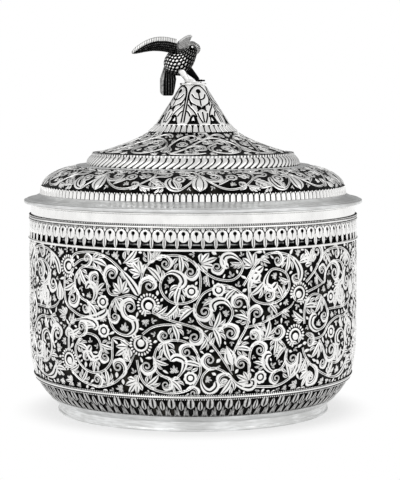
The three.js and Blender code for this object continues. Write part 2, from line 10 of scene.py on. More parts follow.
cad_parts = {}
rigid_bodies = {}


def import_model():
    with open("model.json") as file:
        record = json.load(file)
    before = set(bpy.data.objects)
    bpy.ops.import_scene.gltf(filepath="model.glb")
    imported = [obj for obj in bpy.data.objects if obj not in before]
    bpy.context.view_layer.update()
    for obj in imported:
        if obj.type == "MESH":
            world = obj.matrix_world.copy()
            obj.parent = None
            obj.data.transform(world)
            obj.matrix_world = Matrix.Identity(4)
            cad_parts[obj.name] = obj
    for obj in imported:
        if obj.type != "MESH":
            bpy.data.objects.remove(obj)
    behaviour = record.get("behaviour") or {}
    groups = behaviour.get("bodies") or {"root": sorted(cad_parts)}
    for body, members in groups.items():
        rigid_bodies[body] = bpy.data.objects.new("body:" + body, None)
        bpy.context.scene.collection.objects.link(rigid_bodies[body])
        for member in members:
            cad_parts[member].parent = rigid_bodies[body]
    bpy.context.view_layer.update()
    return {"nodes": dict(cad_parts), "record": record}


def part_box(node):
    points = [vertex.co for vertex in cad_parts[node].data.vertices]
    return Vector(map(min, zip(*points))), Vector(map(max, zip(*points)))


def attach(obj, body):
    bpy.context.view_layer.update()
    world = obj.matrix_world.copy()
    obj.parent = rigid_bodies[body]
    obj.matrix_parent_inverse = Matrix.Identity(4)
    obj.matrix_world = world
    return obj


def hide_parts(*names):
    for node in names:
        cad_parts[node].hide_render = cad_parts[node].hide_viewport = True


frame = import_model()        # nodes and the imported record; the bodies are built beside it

nodes = frame["nodes"]
mm = 0.001
print("frame:", len(nodes), "nodes")


# Measures taken from the frame, in millimetres

def foot(node):
    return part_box(node)[0].z / mm


def top(node):
    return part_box(node)[1].z / mm


def ends(node):
    return foot(node), top(node)


def radius(node):
    low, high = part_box(node)
    return max(high.x, high.y, -low.x, -low.y) / mm


# Graphs: a signal is a node socket that can stand in a sum

class Signal:
    def __init__(self, graph, socket):
        self.graph = graph
        self.socket = socket

    def math(self, operation, other=0, flipped=False):
        pair = {0: other, 1: self} if flipped else {0: self, 1: other}
        return self.graph.add("ShaderNodeMath", {"operation": operation}, pair)

    def __add__(self, other):
        return self.math("ADD", other)

    def __radd__(self, other):
        return self.math("ADD", other, True)

    def __sub__(self, other):
        return self.math("SUBTRACT", other)

    def __rsub__(self, other):
        return self.math("SUBTRACT", other, True)

    def __mul__(self, other):
        return self.math("MULTIPLY", other)

    def __rmul__(self, other):
        return self.math("MULTIPLY", other, True)

    def __truediv__(self, other):
        return self.math("DIVIDE", other)

    def out(self, name):
        return Signal(self.graph, self.socket.node.outputs[name])

    def ramp(self, low, high):  # 0 below low, 1 above high, smooth between
        return self.graph.add("ShaderNodeMapRange", {"interpolation_type": "SMOOTHSTEP"},
                              {"Value": self, "From Min": low, "From Max": high})


class Graph:
    def __init__(self, tree):
        self.tree = tree

    def add(self, kind, settings=None, inputs=None, output=0):
        node = self.tree.nodes.new(kind)
        for name, value in (settings or {}).items():
            setattr(node, name, value)
        for key, value in (inputs or {}).items():
            if isinstance(value, Signal):
                self.tree.links.new(value.socket, node.inputs[key])
            else:
                node.inputs[key].default_value = value
        return Signal(self, node.outputs[output])

    def xyz(self, x, y, z):
        return self.add("ShaderNodeCombineXYZ", None, {0: x, 1: y, 2: z})

    def axes(self, vector):
        split = self.add("ShaderNodeSeparateXYZ", None, {0: vector})
        return [split.out(name) for name in "XYZ"]

    def blendColor(self, factor, a, b):
        return self.add("ShaderNodeMix", {"data_type": "RGBA"},
                        {"Factor": factor, 6: a, 7: b}, 2)

    def blendVector(self, factor, a, b):
        return self.add("ShaderNodeMix", {"data_type": "VECTOR"},
                        {"Factor": factor, 4: a, 5: b}, 1)


def newTree(name, sockets):
    tree = bpy.data.node_groups.new(name, "GeometryNodeTree")
    tree.interface.new_socket("Geometry", in_out="INPUT", socket_type="NodeSocketGeometry")
    for label, kind in sockets.items():
        tree.interface.new_socket(label, in_out="INPUT", socket_type="NodeSocket" + kind)
    tree.interface.new_socket("Geometry", in_out="OUTPUT", socket_type="NodeSocketGeometry")
    graph = Graph(tree)
    entry = tree.nodes.new("NodeGroupInput")
    given = {label: Signal(graph, entry.outputs[label]) for label in ["Geometry", *sockets]}
    return graph, given


def closeTree(graph, result):
    leave = graph.tree.nodes.new("NodeGroupOutput")
    graph.tree.links.new(result.socket, leave.inputs["Geometry"])
    return graph.tree


def useTree(obj, tree, values):
    modifier = obj.modifiers.new(tree.name, "NODES")
    modifier.node_group = tree
    for item in tree.interface.items_tree:
        if item.in_out == "INPUT" and item.name in values:
            modifier[item.identifier] = values[item.name]
    return obj


# Meshes: outlines and templates are written in millimetres

def newObject(name, verts, faces, shown=True):
    mesh = bpy.data.meshes.new(name)
    mesh.from_pydata([Vector(v) * mm for v in verts], [], faces)
    obj = bpy.data.objects.new(name, mesh)
    if shown:
        bpy.context.collection.objects.link(obj)
    return obj


def faceOut(obj):
    work = bmesh.new()
    work.from_mesh(obj.data)
    bmesh.ops.remove_doubles(work, verts=work.verts, dist=1e-6)
    bmesh.ops.recalc_face_normals(work, faces=work.faces)
    work.to_mesh(obj.data)
    work.free()
    return obj


reliefAngle = 50  # degrees from which an edge of chased work stays sharp


def shade(obj, angle=38):
    for face in obj.data.polygons:
        face.use_smooth = True
    obj.data.set_sharp_from_angle(angle=math.radians(angle))
    return obj


def bake(obj, name, body, replaced):
    graph = bpy.context.evaluated_depsgraph_get()
    mesh = bpy.data.meshes.new_from_object(obj.evaluated_get(graph), preserve_all_data_layers=True,
                                           depsgraph=graph)
    bpy.data.objects.remove(obj)
    mesh.name = name
    piece = bpy.data.objects.new(name, mesh)
    bpy.context.collection.objects.link(piece)
    shade(piece, reliefAngle)
    return seat(piece, body, replaced)


def seat(piece, body, replaced):
    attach(piece, body)
    if replaced:
        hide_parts(*replaced)
    return piece


slots = {s["node"]: s["material_slot"] for s in frame["record"]["subparts"]}


def ringFaces(rows, columns, closed=True):
    faces = []
    for r in range(rows if closed else rows - 1):
        s = (r + 1) % rows
        for c in range(columns):
            d = (c + 1) % columns
            faces.append((r * columns + c, r * columns + d, s * columns + d, s * columns + c))
    return faces


def cappedFaces(rows, columns):  # a tube with one face on each end
    faces = ringFaces(rows, columns, False)
    faces.append(tuple(reversed(range(columns))))
    faces.append(tuple((rows - 1) * columns + k for k in range(columns)))
    return faces


def slabFaces(steps, across):  # two layers of a grid, joined round their edges
    layer = (steps + 1) * (across + 1)

    def at(i, k, side):
        return side * layer + i * (across + 1) + k

    faces = []
    for i in range(steps):
        for k in range(across):
            faces.append((at(i, k, 0), at(i, k + 1, 0), at(i + 1, k + 1, 0), at(i + 1, k, 0)))
            faces.append((at(i + 1, k, 1), at(i + 1, k + 1, 1), at(i, k + 1, 1), at(i, k, 1)))
        faces.append((at(i, 0, 1), at(i, 0, 0), at(i + 1, 0, 0), at(i + 1, 0, 1)))
        faces.append((at(i + 1, across, 1), at(i + 1, across, 0), at(i, across, 0), at(i, across, 1)))
    for k in range(across):
        faces.append((at(0, k, 1), at(0, k + 1, 1), at(0, k + 1, 0), at(0, k, 0)))
        faces.append((at(steps, k, 0), at(steps, k + 1, 0), at(steps, k + 1, 1), at(steps, k, 1)))
    return faces


def lathe(name, outline, steps=180):  # outline: a closed loop of (radius, height)
    verts = []
    for r, z in outline:
        for i in range(steps):
            a = 2 * math.pi * i / steps
            verts.append((r * math.sin(a), -r * math.cos(a), z))
    obj = newObject(name, verts, ringFaces(len(outline), steps))
    return faceOut(obj)


def offsetLine(radiusAt, low, high, out, steps):  # an upright outline, moved outwards
    line = []
    for i in range(steps + 1):
        z = low + (high - low) * i / steps
        ahead = radiusAt(z + 0.05) - radiusAt(z - 0.05)
        across = Vector((0.1, -ahead)).normalized()
        line.append((radiusAt(z) + across.x * out, z + across.y * out))
    return line


def bevelled(points, size, steps=3):  # rounds the corners of a closed outline
    result = []
    for i, p in enumerate(points):
        a = Vector(points[i - 1])
        b = Vector(p)
        c = Vector(points[(i + 1) % len(points)])
        reach = min(size, (a - b).length / 2.1, (c - b).length / 2.1)
        start = b + (a - b).normalized() * reach
        end = b + (c - b).normalized() * reach
        for k in range(steps + 1):
            t = k / steps
            result.append(tuple(start.lerp(b, t).lerp(b.lerp(end, t), t)))
    return result


# Camera and room, metres

cameraSet = {"distance": 1.0, "height": 0.175, "aimHeight": 0.0905, "aside": 0.0037, "lens": 168.6}
roomSet = {  # key and fill: place, width and power of a lamp
    "floorWidth": 8.0,
    "floorColor": 0.93,
    "shadowReach": (0.07, 0.1),
    "floorGlow": 0.6,
    "ambient": 0.6,
    "seen": 1.0,
    "ceiling": 0.74,
    "ceilingRise": (0.3, 0.95),
    "back": 0.3,
    "backRise": (0.4, 0.92),
    "key": ((-1.1, -1.3, 1.2), 1.3, 6.5),
    "fill": ((1.4, -0.9, 0.9), 1.3, 3),
}


def makeCamera(p):
    data = bpy.data.cameras.new("camera")
    data.sensor_fit = "HORIZONTAL"
    data.sensor_width = 36
    data.lens = p["lens"]
    data.clip_end = 50
    camera = bpy.data.objects.new("camera", data)
    camera.location = (p["aside"], -p["distance"], p["height"])
    tilt = math.atan2(p["height"] - p["aimHeight"], p["distance"])
    camera.rotation_euler = (math.radians(90) - tilt, 0, 0)
    bpy.context.collection.objects.link(camera)
    bpy.context.scene.camera = camera


def areaLight(name, place, size, power):
    data = bpy.data.lights.new(name, "AREA")
    data.shape = "RECTANGLE"
    data.size = size
    data.size_y = size
    data.energy = power
    lamp = bpy.data.objects.new(name, data)
    lamp.location = place
    aim = Vector((0, 0, 0.1)) - lamp.location
    lamp.rotation_euler = aim.to_track_quat("-Z", "Y").to_euler()
    bpy.context.collection.objects.link(lamp)


def makeRoom(p):
    bpy.context.scene.view_settings.view_transform = "Standard"
    areaLight("keyLight", *p["key"])
    areaLight("fillLight", *p["fill"])
    world = bpy.data.worlds.new("studio")
    bpy.context.scene.world = world
    world.use_nodes = True
    graph = Graph(world.node_tree)
    path = graph.add("ShaderNodeLightPath")
    mirrored = path.out("Is Glossy Ray").math("MAXIMUM", path.out("Is Transmission Ray"))
    _, y, z = graph.axes(graph.add("ShaderNodeTexCoord").out("Generated"))
    above = z.ramp(*p["ceilingRise"]) * (p["seen"] - p["ceiling"])
    behind = y.ramp(*p["backRise"]) * (p["seen"] - p["back"])  # darkens what turns away
    seen = path.out("Is Camera Ray")
    lift = p["seen"] - p["ambient"]
    strength = p["ambient"] + mirrored * (lift - above - behind) + seen * lift
    background = world.node_tree.nodes["Background"]
    background.inputs["Color"].default_value = (1, 1, 1, 1)
    graph.tree.links.new(strength.socket, background.inputs["Strength"])
    makeFloor(p)


def makeFloor(p):  # white around the object, with its shadow kept
    wide = p["floorWidth"] / 2 / mm
    floor = newObject("floor", [(-wide, -wide, 0), (wide, -wide, 0), (wide, wide, 0), (-wide, wide, 0)],
                      [(0, 1, 2, 3)])
    paint = bpy.data.materials.new("paleFloor")
    paint.use_nodes = True
    graph = Graph(paint.node_tree)
    shader = paint.node_tree.nodes["Principled BSDF"]
    shader.inputs["Base Color"].default_value = (p["floorColor"],) * 3 + (1,)
    shader.inputs["Roughness"].default_value = 0.9
    x, y, _ = graph.axes(graph.add("ShaderNodeTexCoord").out("Object"))
    away = (x * x + y * y).math("SQRT")
    path = graph.add("ShaderNodeLightPath")
    shown = path.out("Is Camera Ray").math("MAXIMUM", path.out("Is Glossy Ray"))
    shown = shown.math("MAXIMUM", path.out("Is Transmission Ray"))
    white = paint.node_tree.nodes.new("ShaderNodeEmission")
    white.inputs["Strength"].default_value = p["seen"]
    mix = paint.node_tree.nodes.new("ShaderNodeMixShader")
    links = paint.node_tree.links
    clear = p["floorGlow"] + away.ramp(*p["shadowReach"]) * (1 - p["floorGlow"])
    links.new((shown * clear).socket, mix.inputs[0])
    links.new(shader.outputs[0], mix.inputs[1])
    links.new(white.outputs[0], mix.inputs[2])
    links.new(mix.outputs[0], paint.node_tree.nodes["Material Output"].inputs["Surface"])
    floor.data.materials.append(paint)


makeCamera(cameraSet)
makeRoom(roomSet)
print("room ready")


# Finishes. Relief is the height of a chased surface over its ground, in millimetres: the oxide
# stays in what lies low, and polishing has cleared what stands proud.

# On the bird and the cone's inner skin the same value also carries painted shade and a painted highlight.
finish = {
    "silver": (0.96, 0.957, 0.945),
    "satin": (0.87, 0.88, 0.88),
    # dull satin patches: partly the metal's own dullness, partly a painted grey reflection
    "satinDullAndShade": (0.62, 0.625, 0.62),
    "oxide": (0.004, 0.004, 0.004),
    "oxideWorn": (0.034, 0.032, 0.026),
    "clearFrom": 0.41,
    "clearTo": 0.69,
    "polishedDull": 0.86,  # tone of the dullest patches against the brightest
    "chasedDull": 0.88,
    "polishedRough": 0.16,
    "chasedRough": 0.27,
    "satinRough": 0.4,
    "oxideRough": 0.5,
    "darkRough": 0.55,
}


def startMaterial(name):
    mat = bpy.data.materials.new(name)
    mat.use_nodes = True
    graph = Graph(mat.node_tree)
    shader = mat.node_tree.nodes["Principled BSDF"]
    shader.inputs["Metallic"].default_value = 1
    here = graph.add("ShaderNodeTexCoord").out("Object")
    return mat, graph, shader, here


def noise(graph, here, scale, detail=3, stretch=None):
    if stretch:
        here = graph.add("ShaderNodeVectorMath", {"operation": "MULTIPLY"}, {0: here, 1: stretch})
    return graph.add("ShaderNodeTexNoise", None, {"Vector": here, "Scale": scale, "Detail": detail})


def feed(graph, shader, inputs):
    for name, signal in inputs.items():
        graph.tree.links.new(signal.socket, shader.inputs[name])


def bump(graph, height, strength, distance):
    return graph.add("ShaderNodeBump", None, {"Height": height, "Strength": strength,
                                              "Distance": distance * mm})


def polishedSilver(p):
    mat, graph, shader, here = startMaterial("polishedSilver")
    rubbed = noise(graph, here, 60, 4, (1, 1, 14))
    cloudy = noise(graph, here, 90)
    bright = p["silver"]
    dull = tuple(c * p["polishedDull"] for c in bright)
    color = graph.blendColor(cloudy.ramp(0.3, 0.75), (*bright, 1), (*dull, 1))
    rough = p["polishedRough"] + (rubbed - 0.5) * 0.12 + (cloudy - 0.5) * 0.08
    feed(graph, shader, {"Base Color": color, "Roughness": rough,
                         "Normal": bump(graph, rubbed + cloudy, 0.12, 0.2)})
    return mat


def chasedSilver(p):
    mat, graph, shader, here = startMaterial("chasedSilver")
    relief = graph.add("ShaderNodeAttribute", {"attribute_name": "relief"}).out("Fac")
    patchy = noise(graph, here, 700)
    broad = noise(graph, here, 60)
    height = relief + (patchy - 0.5) * 0.16
    cleared = height.ramp(p["clearFrom"], p["clearTo"])
    bright = p["silver"]
    dull = tuple(c * p["chasedDull"] for c in bright)
    metal = graph.blendColor(broad.ramp(0.35, 0.7), (*bright, 1), (*dull, 1))
    color = graph.blendColor(cleared, (*p["oxide"], 1), metal)
    rough = p["oxideRough"] + cleared * (p["chasedRough"] - p["oxideRough"]) + (patchy - 0.5) * 0.1
    feed(graph, shader, {"Base Color": color, "Roughness": rough,
                         "Normal": bump(graph, patchy + broad, 0.25, 0.12)})
    return mat


def satinSilver(p):  # plain edges, less rubbed than the mouth; their dull patches are partly a painted grey reflection
    mat, graph, shader, here = startMaterial("satinSilver")
    drawn = noise(graph, here, 130, 4, (1, 1, 9))
    cloudy = noise(graph, here, 45)
    color = graph.blendColor((drawn * 0.5 + cloudy * 0.5).ramp(0.36, 0.62), (*p["satin"], 1),
                             (*p["satinDullAndShade"], 1))
    feed(graph, shader, {"Base Color": color, "Roughness": p["satinRough"] + (drawn - 0.5) * 0.25,
                         "Normal": bump(graph, drawn + cloudy, 0.2, 0.2)})
    return mat


# the liner's own dark silver; on the ground rings this near-black is painted shade
def darkSilverAndShade(p):
    mat, graph, shader, here = startMaterial("darkSilverAndShade")
    patchy = noise(graph, here, 110)
    color = graph.blendColor(patchy.ramp(0.5, 0.8), (*p["oxide"], 1), (*p["oxideWorn"], 1))
    feed(graph, shader, {"Base Color": color, "Roughness": p["darkRough"] + (patchy - 0.5) * 0.2,
                         "Normal": bump(graph, patchy, 0.4, 0.2)})
    return mat


finishes = {
    "polished_silver": polishedSilver(finish),
    "chased_silver": chasedSilver(finish),
    "dark_silver": darkSilverAndShade(finish),
    "satin_silver": satinSilver(finish),
}
for name, obj in nodes.items():
    obj.data.materials.clear()
    obj.data.materials.append(finishes[slots[name]])
print("finishes ready")


# Motifs: small closed reliefs in millimetres, lying flat with the height along z

ridged = [(-1, -0.15), (-1, 0.5), (-0.72, 0.86), (-0.22, 0.8), (0, 0.12), (0.22, 0.8), (0.72, 0.86),
          (1, 0.5), (1, -0.15)]
domed = [(-1, -0.15), (-1, 0.5), (-0.6, 0.84), (0, 0.95), (0.6, 0.84), (1, 0.5), (1, -0.15)]
shallow = [(-1, -0.15), (-1, 0.4), (-0.7, 0.6), (-0.26, 0.56), (0, 0.08), (0.26, 0.56), (0.7, 0.6),
           (1, 0.4), (1, -0.15)]
nested = [(-1, -0.15), (-1, 0.5), (-0.84, 0.84), (-0.62, 0.8), (-0.5, 0.1), (-0.36, 0.8), (0, 0.95),
          (0.36, 0.8), (0.5, 0.1), (0.62, 0.8), (0.84, 0.84), (1, 0.5), (1, -0.15)]


def fluted(hollow):  # two ridges with a hollow between them
    return [(-1, -0.15), (-1, 0.55), (-0.75, 0.85), (-0.3, hollow), (0.3, hollow), (0.75, 0.85),
            (1, 0.55), (1, -0.15)]


class Motif:
    def __init__(self):
        self.verts = []
        self.faces = []

    def add(self, verts, faces):
        start = len(self.verts)
        self.verts += verts
        self.faces += [tuple(start + i for i in face) for face in faces]
        return self

    def strip(self, path, half, section, lift=1.0):  # half: (left, right) widths at each point
        verts = []
        last = len(path) - 1
        for i, point in enumerate(path):
            along = Vector(path[min(i + 1, last)]) - Vector(path[max(i - 1, 0)])
            side = Vector((along.y, -along.x)).normalized()
            for across, height in section:
                wide = half[i][1] if across > 0 else half[i][0]
                spot = Vector(point) + side * across * wide
                verts.append((spot.x, spot.y, height * lift if height > 0 else height))
        return self.add(verts, cappedFaces(len(path), len(section)))

    def petal(self, base, tip, width, bend=0.0, full=0.5, section=ridged, steps=6, lift=1.0):
        a = Vector(base)
        b = Vector(tip)
        along = b - a
        middle = (a + b) / 2 + Vector((along.y, -along.x)) * bend
        path = []
        half = []
        for i in range(steps):
            t = i / (steps - 1)
            path.append(a.lerp(middle, t).lerp(middle.lerp(b, t), t))
            swell = max(math.sin(math.pi * t ** (math.log(0.5) / math.log(full))), 0) ** 0.6
            half.append((max(width / 2 * swell, 0.07),) * 2)
        return self.strip(path, half, section, lift)

    def disc(self, rings, lobes=0, depth=0.0, steps=24, at=(0, 0)):  # rings: (radius, height)
        verts = []
        for k, (r, height) in enumerate(rings):
            for i in range(steps):
                a = 2 * math.pi * i / steps
                wave = abs(math.sin(a * lobes / 2)) if lobes else 0
                reach = r * (1 - depth * (1 - wave)) if k < 3 and lobes else r
                verts.append((at[0] + reach * math.cos(a), at[1] + reach * math.sin(a), height))
        faces = ringFaces(len(rings), steps, False)
        faces.append(tuple(range(steps)))
        faces.append(tuple((len(rings) - 1) * steps + i for i in reversed(range(steps))))
        return self.add(verts, faces)

    def mirrored(self):  # left for right
        twin = Motif()
        twin.add([(x, -y, z) for x, y, z in self.verts], [tuple(reversed(f)) for f in self.faces])
        return twin


curlShape = {"turn": 590, "step": 18, "start": 140, "ring": 2.9, "tail": 3.1, "crest": 1.75, "crestFrom": 15,
             "crestTo": 265, "lobes": 3, "line": 0.46, "off": 4.2}  # off: from its middle to the stem


def curl(p):  # winds clockwise off a stem that runs along +x above it
    path = []
    half = []
    for i in range(p["turn"] // p["step"] + 1):
        phi = i * p["step"]
        t = min(phi / p["turn"], 1)
        r = p["ring"] * (1 - t) ** 0.6 + p["tail"] * (1 - t) ** 10
        a = math.radians(p["start"] - phi)
        path.append((r * math.cos(a), r * math.sin(a)))
        outer = p["line"]
        inner = p["line"] + 0.2 * math.sin(math.pi * min(t * 2, 1))
        if p["crestFrom"] < phi < p["crestTo"]:
            share = (phi - p["crestFrom"]) / (p["crestTo"] - p["crestFrom"])
            lobe = 0.66 + 0.34 * abs(math.sin(math.pi * share * p["lobes"]))
            outer += p["crest"] * math.sin(math.pi * share) ** 0.7 * lobe
        if t > 0.85:
            inner = 0.6
            outer = 0.55
        half.append((outer, inner))
    return Motif().strip(path, half, ridged)


leafLength = 6


def acanthus():  # grows along +x and leans to the right of it
    leaf = Motif()
    leaf.petal((-0.4, 0), (6.3, -1.2), 1.9, bend=-0.2)
    leaf.petal((0.4, 0.5), (2.9, 2.5), 1.4, bend=-0.34)
    leaf.petal((2.2, 0.9), (5.2, 1.7), 1.3, bend=-0.32)
    leaf.petal((0.8, -0.6), (2.6, -2.5), 1.35, bend=0.34)
    leaf.petal((2.6, -0.9), (4.6, -2.7), 1.2, bend=0.32)
    return leaf


def feathery():  # a narrower leaf with lobes on one side
    leaf = Motif()
    leaf.petal((-0.4, 0), (6.2, 0.8), 1.7, bend=0.16)
    leaf.petal((0.9, -0.4), (2.8, -2.2), 1.4, bend=0.14)
    leaf.petal((2.4, -0.6), (4.6, -1.9), 1.3, bend=0.12)
    leaf.petal((3.9, -0.3), (6.0, -0.9), 1.0, bend=0.1)
    return leaf


def fan(turns, lengths, width):
    leaf = Motif()
    for turn, reach in zip(turns, lengths):
        a = math.radians(turn)
        leaf.petal((0.5 * math.cos(a), 0.5 * math.sin(a)), (reach * math.cos(a), reach * math.sin(a)), width,
                   full=0.62)
    return leaf


def rosette():
    return Motif().disc([(3.6, -0.15), (3.6, 0.55), (3.1, 0.88), (2.3, 0.84), (1.9, 0.25), (1.45, 0.25),
                         (1.2, 0.8), (0.6, 0.98)], 9, 0.12, 36)


def flower():  # opens along +x, with two sepals at its stem
    head = Motif().disc([(1.9, -0.15), (1.9, 0.5), (1.65, 0.86), (0.8, 1.0)], steps=24, at=(-0.5, 0))
    arc = [math.radians(a) for a in range(-140, 141, 10)]
    head.strip([(3.3 * math.cos(a), 3.3 * math.sin(a)) for a in arc], [(0.62, 0.62)] * len(arc), domed)
    for i in range(17):  # a fringe of small petals
        a = math.radians(17 * i - 136)
        head.petal((4.3 * math.cos(a), 4.3 * math.sin(a)), (6.0 * math.cos(a), 6.0 * math.sin(a)), 1.3,
                   section=domed, steps=6, full=0.62)
    for side in (-1, 1):
        head.petal((-4.4, side * 0.3), (-1.9, side * 4.9), 2.1, bend=side * 0.2)
    return head


def bud():
    return Motif().petal((-0.4, 0), (6.4, 0), 4.3, full=0.66, section=nested, steps=10)


motifs = {
    "curlRight": curl(curlShape),
    "curlLeft": curl(curlShape).mirrored(),
    "leafRight": acanthus(),
    "leafLeft": acanthus().mirrored(),
    "spurRight": feathery(),
    "spurLeft": feathery().mirrored(),
    "trefoil": fan((-52, 52, 0), (3.4, 3.4, 5.4), 1.8),
    "palmette": fan((-62, 62, -30, 30, 0), (3.4, 3.4, 4.6, 4.6, 5.8), 1.7),
    "rosette": rosette(),
    "flower": flower(),
    "bud": bud(),
    "seed": Motif().petal((-1.3, 0), (1.3, 0), 1.7, section=domed, steps=5),
    "drop": Motif().petal((-1.6, 0), (1.8, 0), 1.5, full=0.35, section=domed, steps=5),
}
motifNames = list(motifs)


def library(name, shapes):  # a collection of templates that is never shown
    shelf = bpy.data.collections.new(name)
    for i, (label, motif) in enumerate(shapes.items()):
        obj = newObject(f"{name}{i:02d}{label}", motif.verts, motif.faces, False)
        faceOut(obj)
        for face in obj.data.polygons:
            face.use_smooth = True
        shelf.objects.link(obj)
    return shelf


def dropLibrary(shelf):
    for obj in list(shelf.objects):
        bpy.data.objects.remove(obj)
    bpy.data.collections.remove(shelf)


# Bands: a flat pattern (along, up, height) is wrapped round a profile

class Band:
    def __init__(self, name, line, girth, even=False, samples=240, depth=1.0):
        # line: (radius, height) from the foot up; girth: the radius at which the pattern is drawn;
        # even: the pattern shrinks with the radius, so that its shapes keep their form; depth: how
        # much of the relief stands out
        self.girth = girth
        self.depth = depth
        fine = []
        for a, b in zip(line, line[1:]):
            for k in range(24):
                fine.append(Vector(a).lerp(Vector(b), k / 24))
        fine.append(Vector(line[-1]))
        up = [0.0 if even else fine[0].y]
        for a, b in zip(fine, fine[1:]):
            gain = (b - a).length * girth * 2 / (a.x + b.x) if even else b.y - a.y
            up.append(up[-1] + gain)
        self.start = up[0]
        self.height = up[-1] - up[0]
        self.step = self.height / (samples - 1)
        places = []
        k = 0
        for i in range(samples):
            v = min(self.start + i * self.step, up[-1])
            while k < len(up) - 2 and up[k + 1] < v:
                k += 1
            span = up[k + 1] - up[k]
            places.append(fine[k].lerp(fine[k + 1], (v - up[k]) / span if span else 0))
        self.places = places
        self.obj = newObject(name + "Profile", [(p.x, 0, p.y) for p in places], [], False)
        slope = self.obj.data.attributes.new("slope", "FLOAT_VECTOR", "POINT")
        for i in range(samples):
            along = places[min(i + 1, samples - 1)] - places[max(i - 1, 0)]
            slope.data[i].vector = Vector((along.y, 0, -along.x)).normalized()

    def values(self):
        return {"Profile": self.obj, "Girth": self.girth * mm, "Start": self.start * mm,
                "Step": self.step * mm, "Depth": self.depth}


bandSockets = {"Profile": "Object", "Girth": "Float", "Start": "Float", "Step": "Float", "Depth": "Float"}


def wrap(graph, flat, given):
    u, v, w = (graph.add("ShaderNodeSeparateXYZ", None, {0: graph.add("GeometryNodeInputPosition")}).out(i)
               for i in range(3))
    kept = graph.add("GeometryNodeStoreNamedAttribute", {"data_type": "FLOAT", "domain": "POINT"},
                     {"Geometry": flat, "Name": "relief", "Value": w / mm})
    profile = graph.add("GeometryNodeObjectInfo", None, {"Object": given["Profile"]}).out("Geometry")
    place = (v - given["Start"]) / given["Step"]
    low = place.math("FLOOR")
    share = place - low

    def sample(field):
        pair = [graph.add("GeometryNodeSampleIndex", {"data_type": "FLOAT_VECTOR", "clamp": True},
                          {"Geometry": profile, "Value": field, "Index": i}) for i in (low, low + 1)]
        return graph.blendVector(share, *pair)

    slope = graph.add("GeometryNodeInputNamedAttribute", {"data_type": "FLOAT_VECTOR"}, {"Name": "slope"})
    spot = graph.add("ShaderNodeVectorMath", {"operation": "MULTIPLY_ADD"},
                     {0: sample(slope), 1: w * given["Depth"],
                      2: sample(graph.add("GeometryNodeInputPosition"))})
    r = graph.add("ShaderNodeSeparateXYZ", None, {0: spot})
    angle = u / given["Girth"]
    around = graph.xyz(r * angle.math("SINE"), 0 - r * angle.math("COSINE"), r.out(2))
    return graph.add("GeometryNodeSetPosition", None, {"Geometry": kept, "Position": around})


stemShape = {"thick": 0.86, "step": 0.9, "hook": 15, "swell": 1.9, "point": 0.25, "taper": 6, "end": 0.35}
stemSection = [(-0.8, -0.1), (-0.78, 0.55), (-0.55, 0.86), (-0.27, 0.76), (0, 0.08), (0.27, 0.76),
               (0.55, 0.86), (0.78, 0.55), (0.8, -0.1)]


def curveObject(name, lines, closed=False):  # lines: ([(x, y), ...], [radius, ...])
    data = bpy.data.curves.new(name, "CURVE")
    data.dimensions = "3D"
    for points, radii in lines:
        spline = data.splines.new("POLY")
        spline.points.add(len(points) - 1)
        spline.use_cyclic_u = closed
        for place, (x, y), r in zip(spline.points, points, radii):
            place.co = (x * mm, y * mm, 0, 1)
            place.radius = r
    obj = bpy.data.objects.new(name, data)
    bpy.context.collection.objects.link(obj)  # an unlinked curve would hand on nothing
    return obj


def chasedTree():  # motifs on points, stems swept along curves, all wrapped round the band
    graph, given = newTree("chasedBand", {"Motifs": "Collection", "Stems": "Object", "Section": "Object",
                                          "Stem Step": "Float", **bandSockets, "Finish": "Material"})
    shelf = graph.add("GeometryNodeCollectionInfo", None,
                      {"Collection": given["Motifs"], "Separate Children": True, "Reset Children": True})
    kind, turn, size = (graph.add("GeometryNodeInputNamedAttribute", {"data_type": form}, {"Name": label})
                        for label, form in (("kind", "INT"), ("turn", "FLOAT"), ("size", "FLOAT")))
    rotation = graph.add("FunctionNodeAxisAngleToRotation", None, {"Axis": (0, 0, 1), "Angle": turn})
    placed = graph.add("GeometryNodeInstanceOnPoints", None,
                       {"Points": given["Geometry"], "Instance": shelf, "Pick Instance": True,
                        "Instance Index": kind, "Rotation": rotation, "Scale": graph.xyz(size, size, 1)})
    motifMesh = graph.add("GeometryNodeRealizeInstances", None, {0: placed})
    lines = graph.add("GeometryNodeObjectInfo", None, {"Object": given["Stems"]}).out("Geometry")
    smooth = graph.add("GeometryNodeCurveSplineType", {"spline_type": "CATMULL_ROM"}, {"Curve": lines})
    even = graph.add("GeometryNodeResampleCurve", {"mode": "LENGTH"},
                     {"Curve": smooth, "Length": given["Stem Step"]})
    upright = graph.add("GeometryNodeSetCurveNormal", {"mode": "Z_UP"}, {"Curve": even})
    swell = graph.add("GeometryNodeInputRadius")
    marked = graph.add("GeometryNodeStoreNamedAttribute", {"data_type": "FLOAT", "domain": "POINT"},
                       {"Geometry": upright, "Name": "swell", "Value": swell})
    section = graph.add("GeometryNodeObjectInfo", None, {"Object": given["Section"]}).out("Geometry")
    swept = graph.add("GeometryNodeCurveToMesh", None,
                      {"Curve": marked, "Profile Curve": section, "Scale": swell, "Fill Caps": True})
    place = graph.add("ShaderNodeSeparateXYZ", None, {0: graph.add("GeometryNodeInputPosition")})
    wide = graph.add("GeometryNodeInputNamedAttribute", {"data_type": "FLOAT"}, {"Name": "swell"})
    level = graph.add("GeometryNodeSetPosition", None,
                      {"Geometry": swept, "Position": graph.xyz(place, place.out(1), place.out(2) / wide)})
    joined = graph.tree.nodes.new("GeometryNodeJoinGeometry")
    for part in (motifMesh, level):
        graph.tree.links.new(part.socket, joined.inputs[0])
    wrapped = wrap(graph, Signal(graph, joined.outputs[0]), given)
    real = graph.add("GeometryNodeRealizeInstances", None, {0: wrapped})
    return closeTree(graph, graph.add("GeometryNodeSetMaterial", None,
                                      {"Geometry": real, "Material": given["Finish"]}))


stemWork = chasedTree()
motifShelf = library("motif", motifs)
sectionObject = curveObject("stemSection", [([(x, -y) for x, y in stemSection], [1] * len(stemSection))],
                            True)  # a section lies upside down on its path


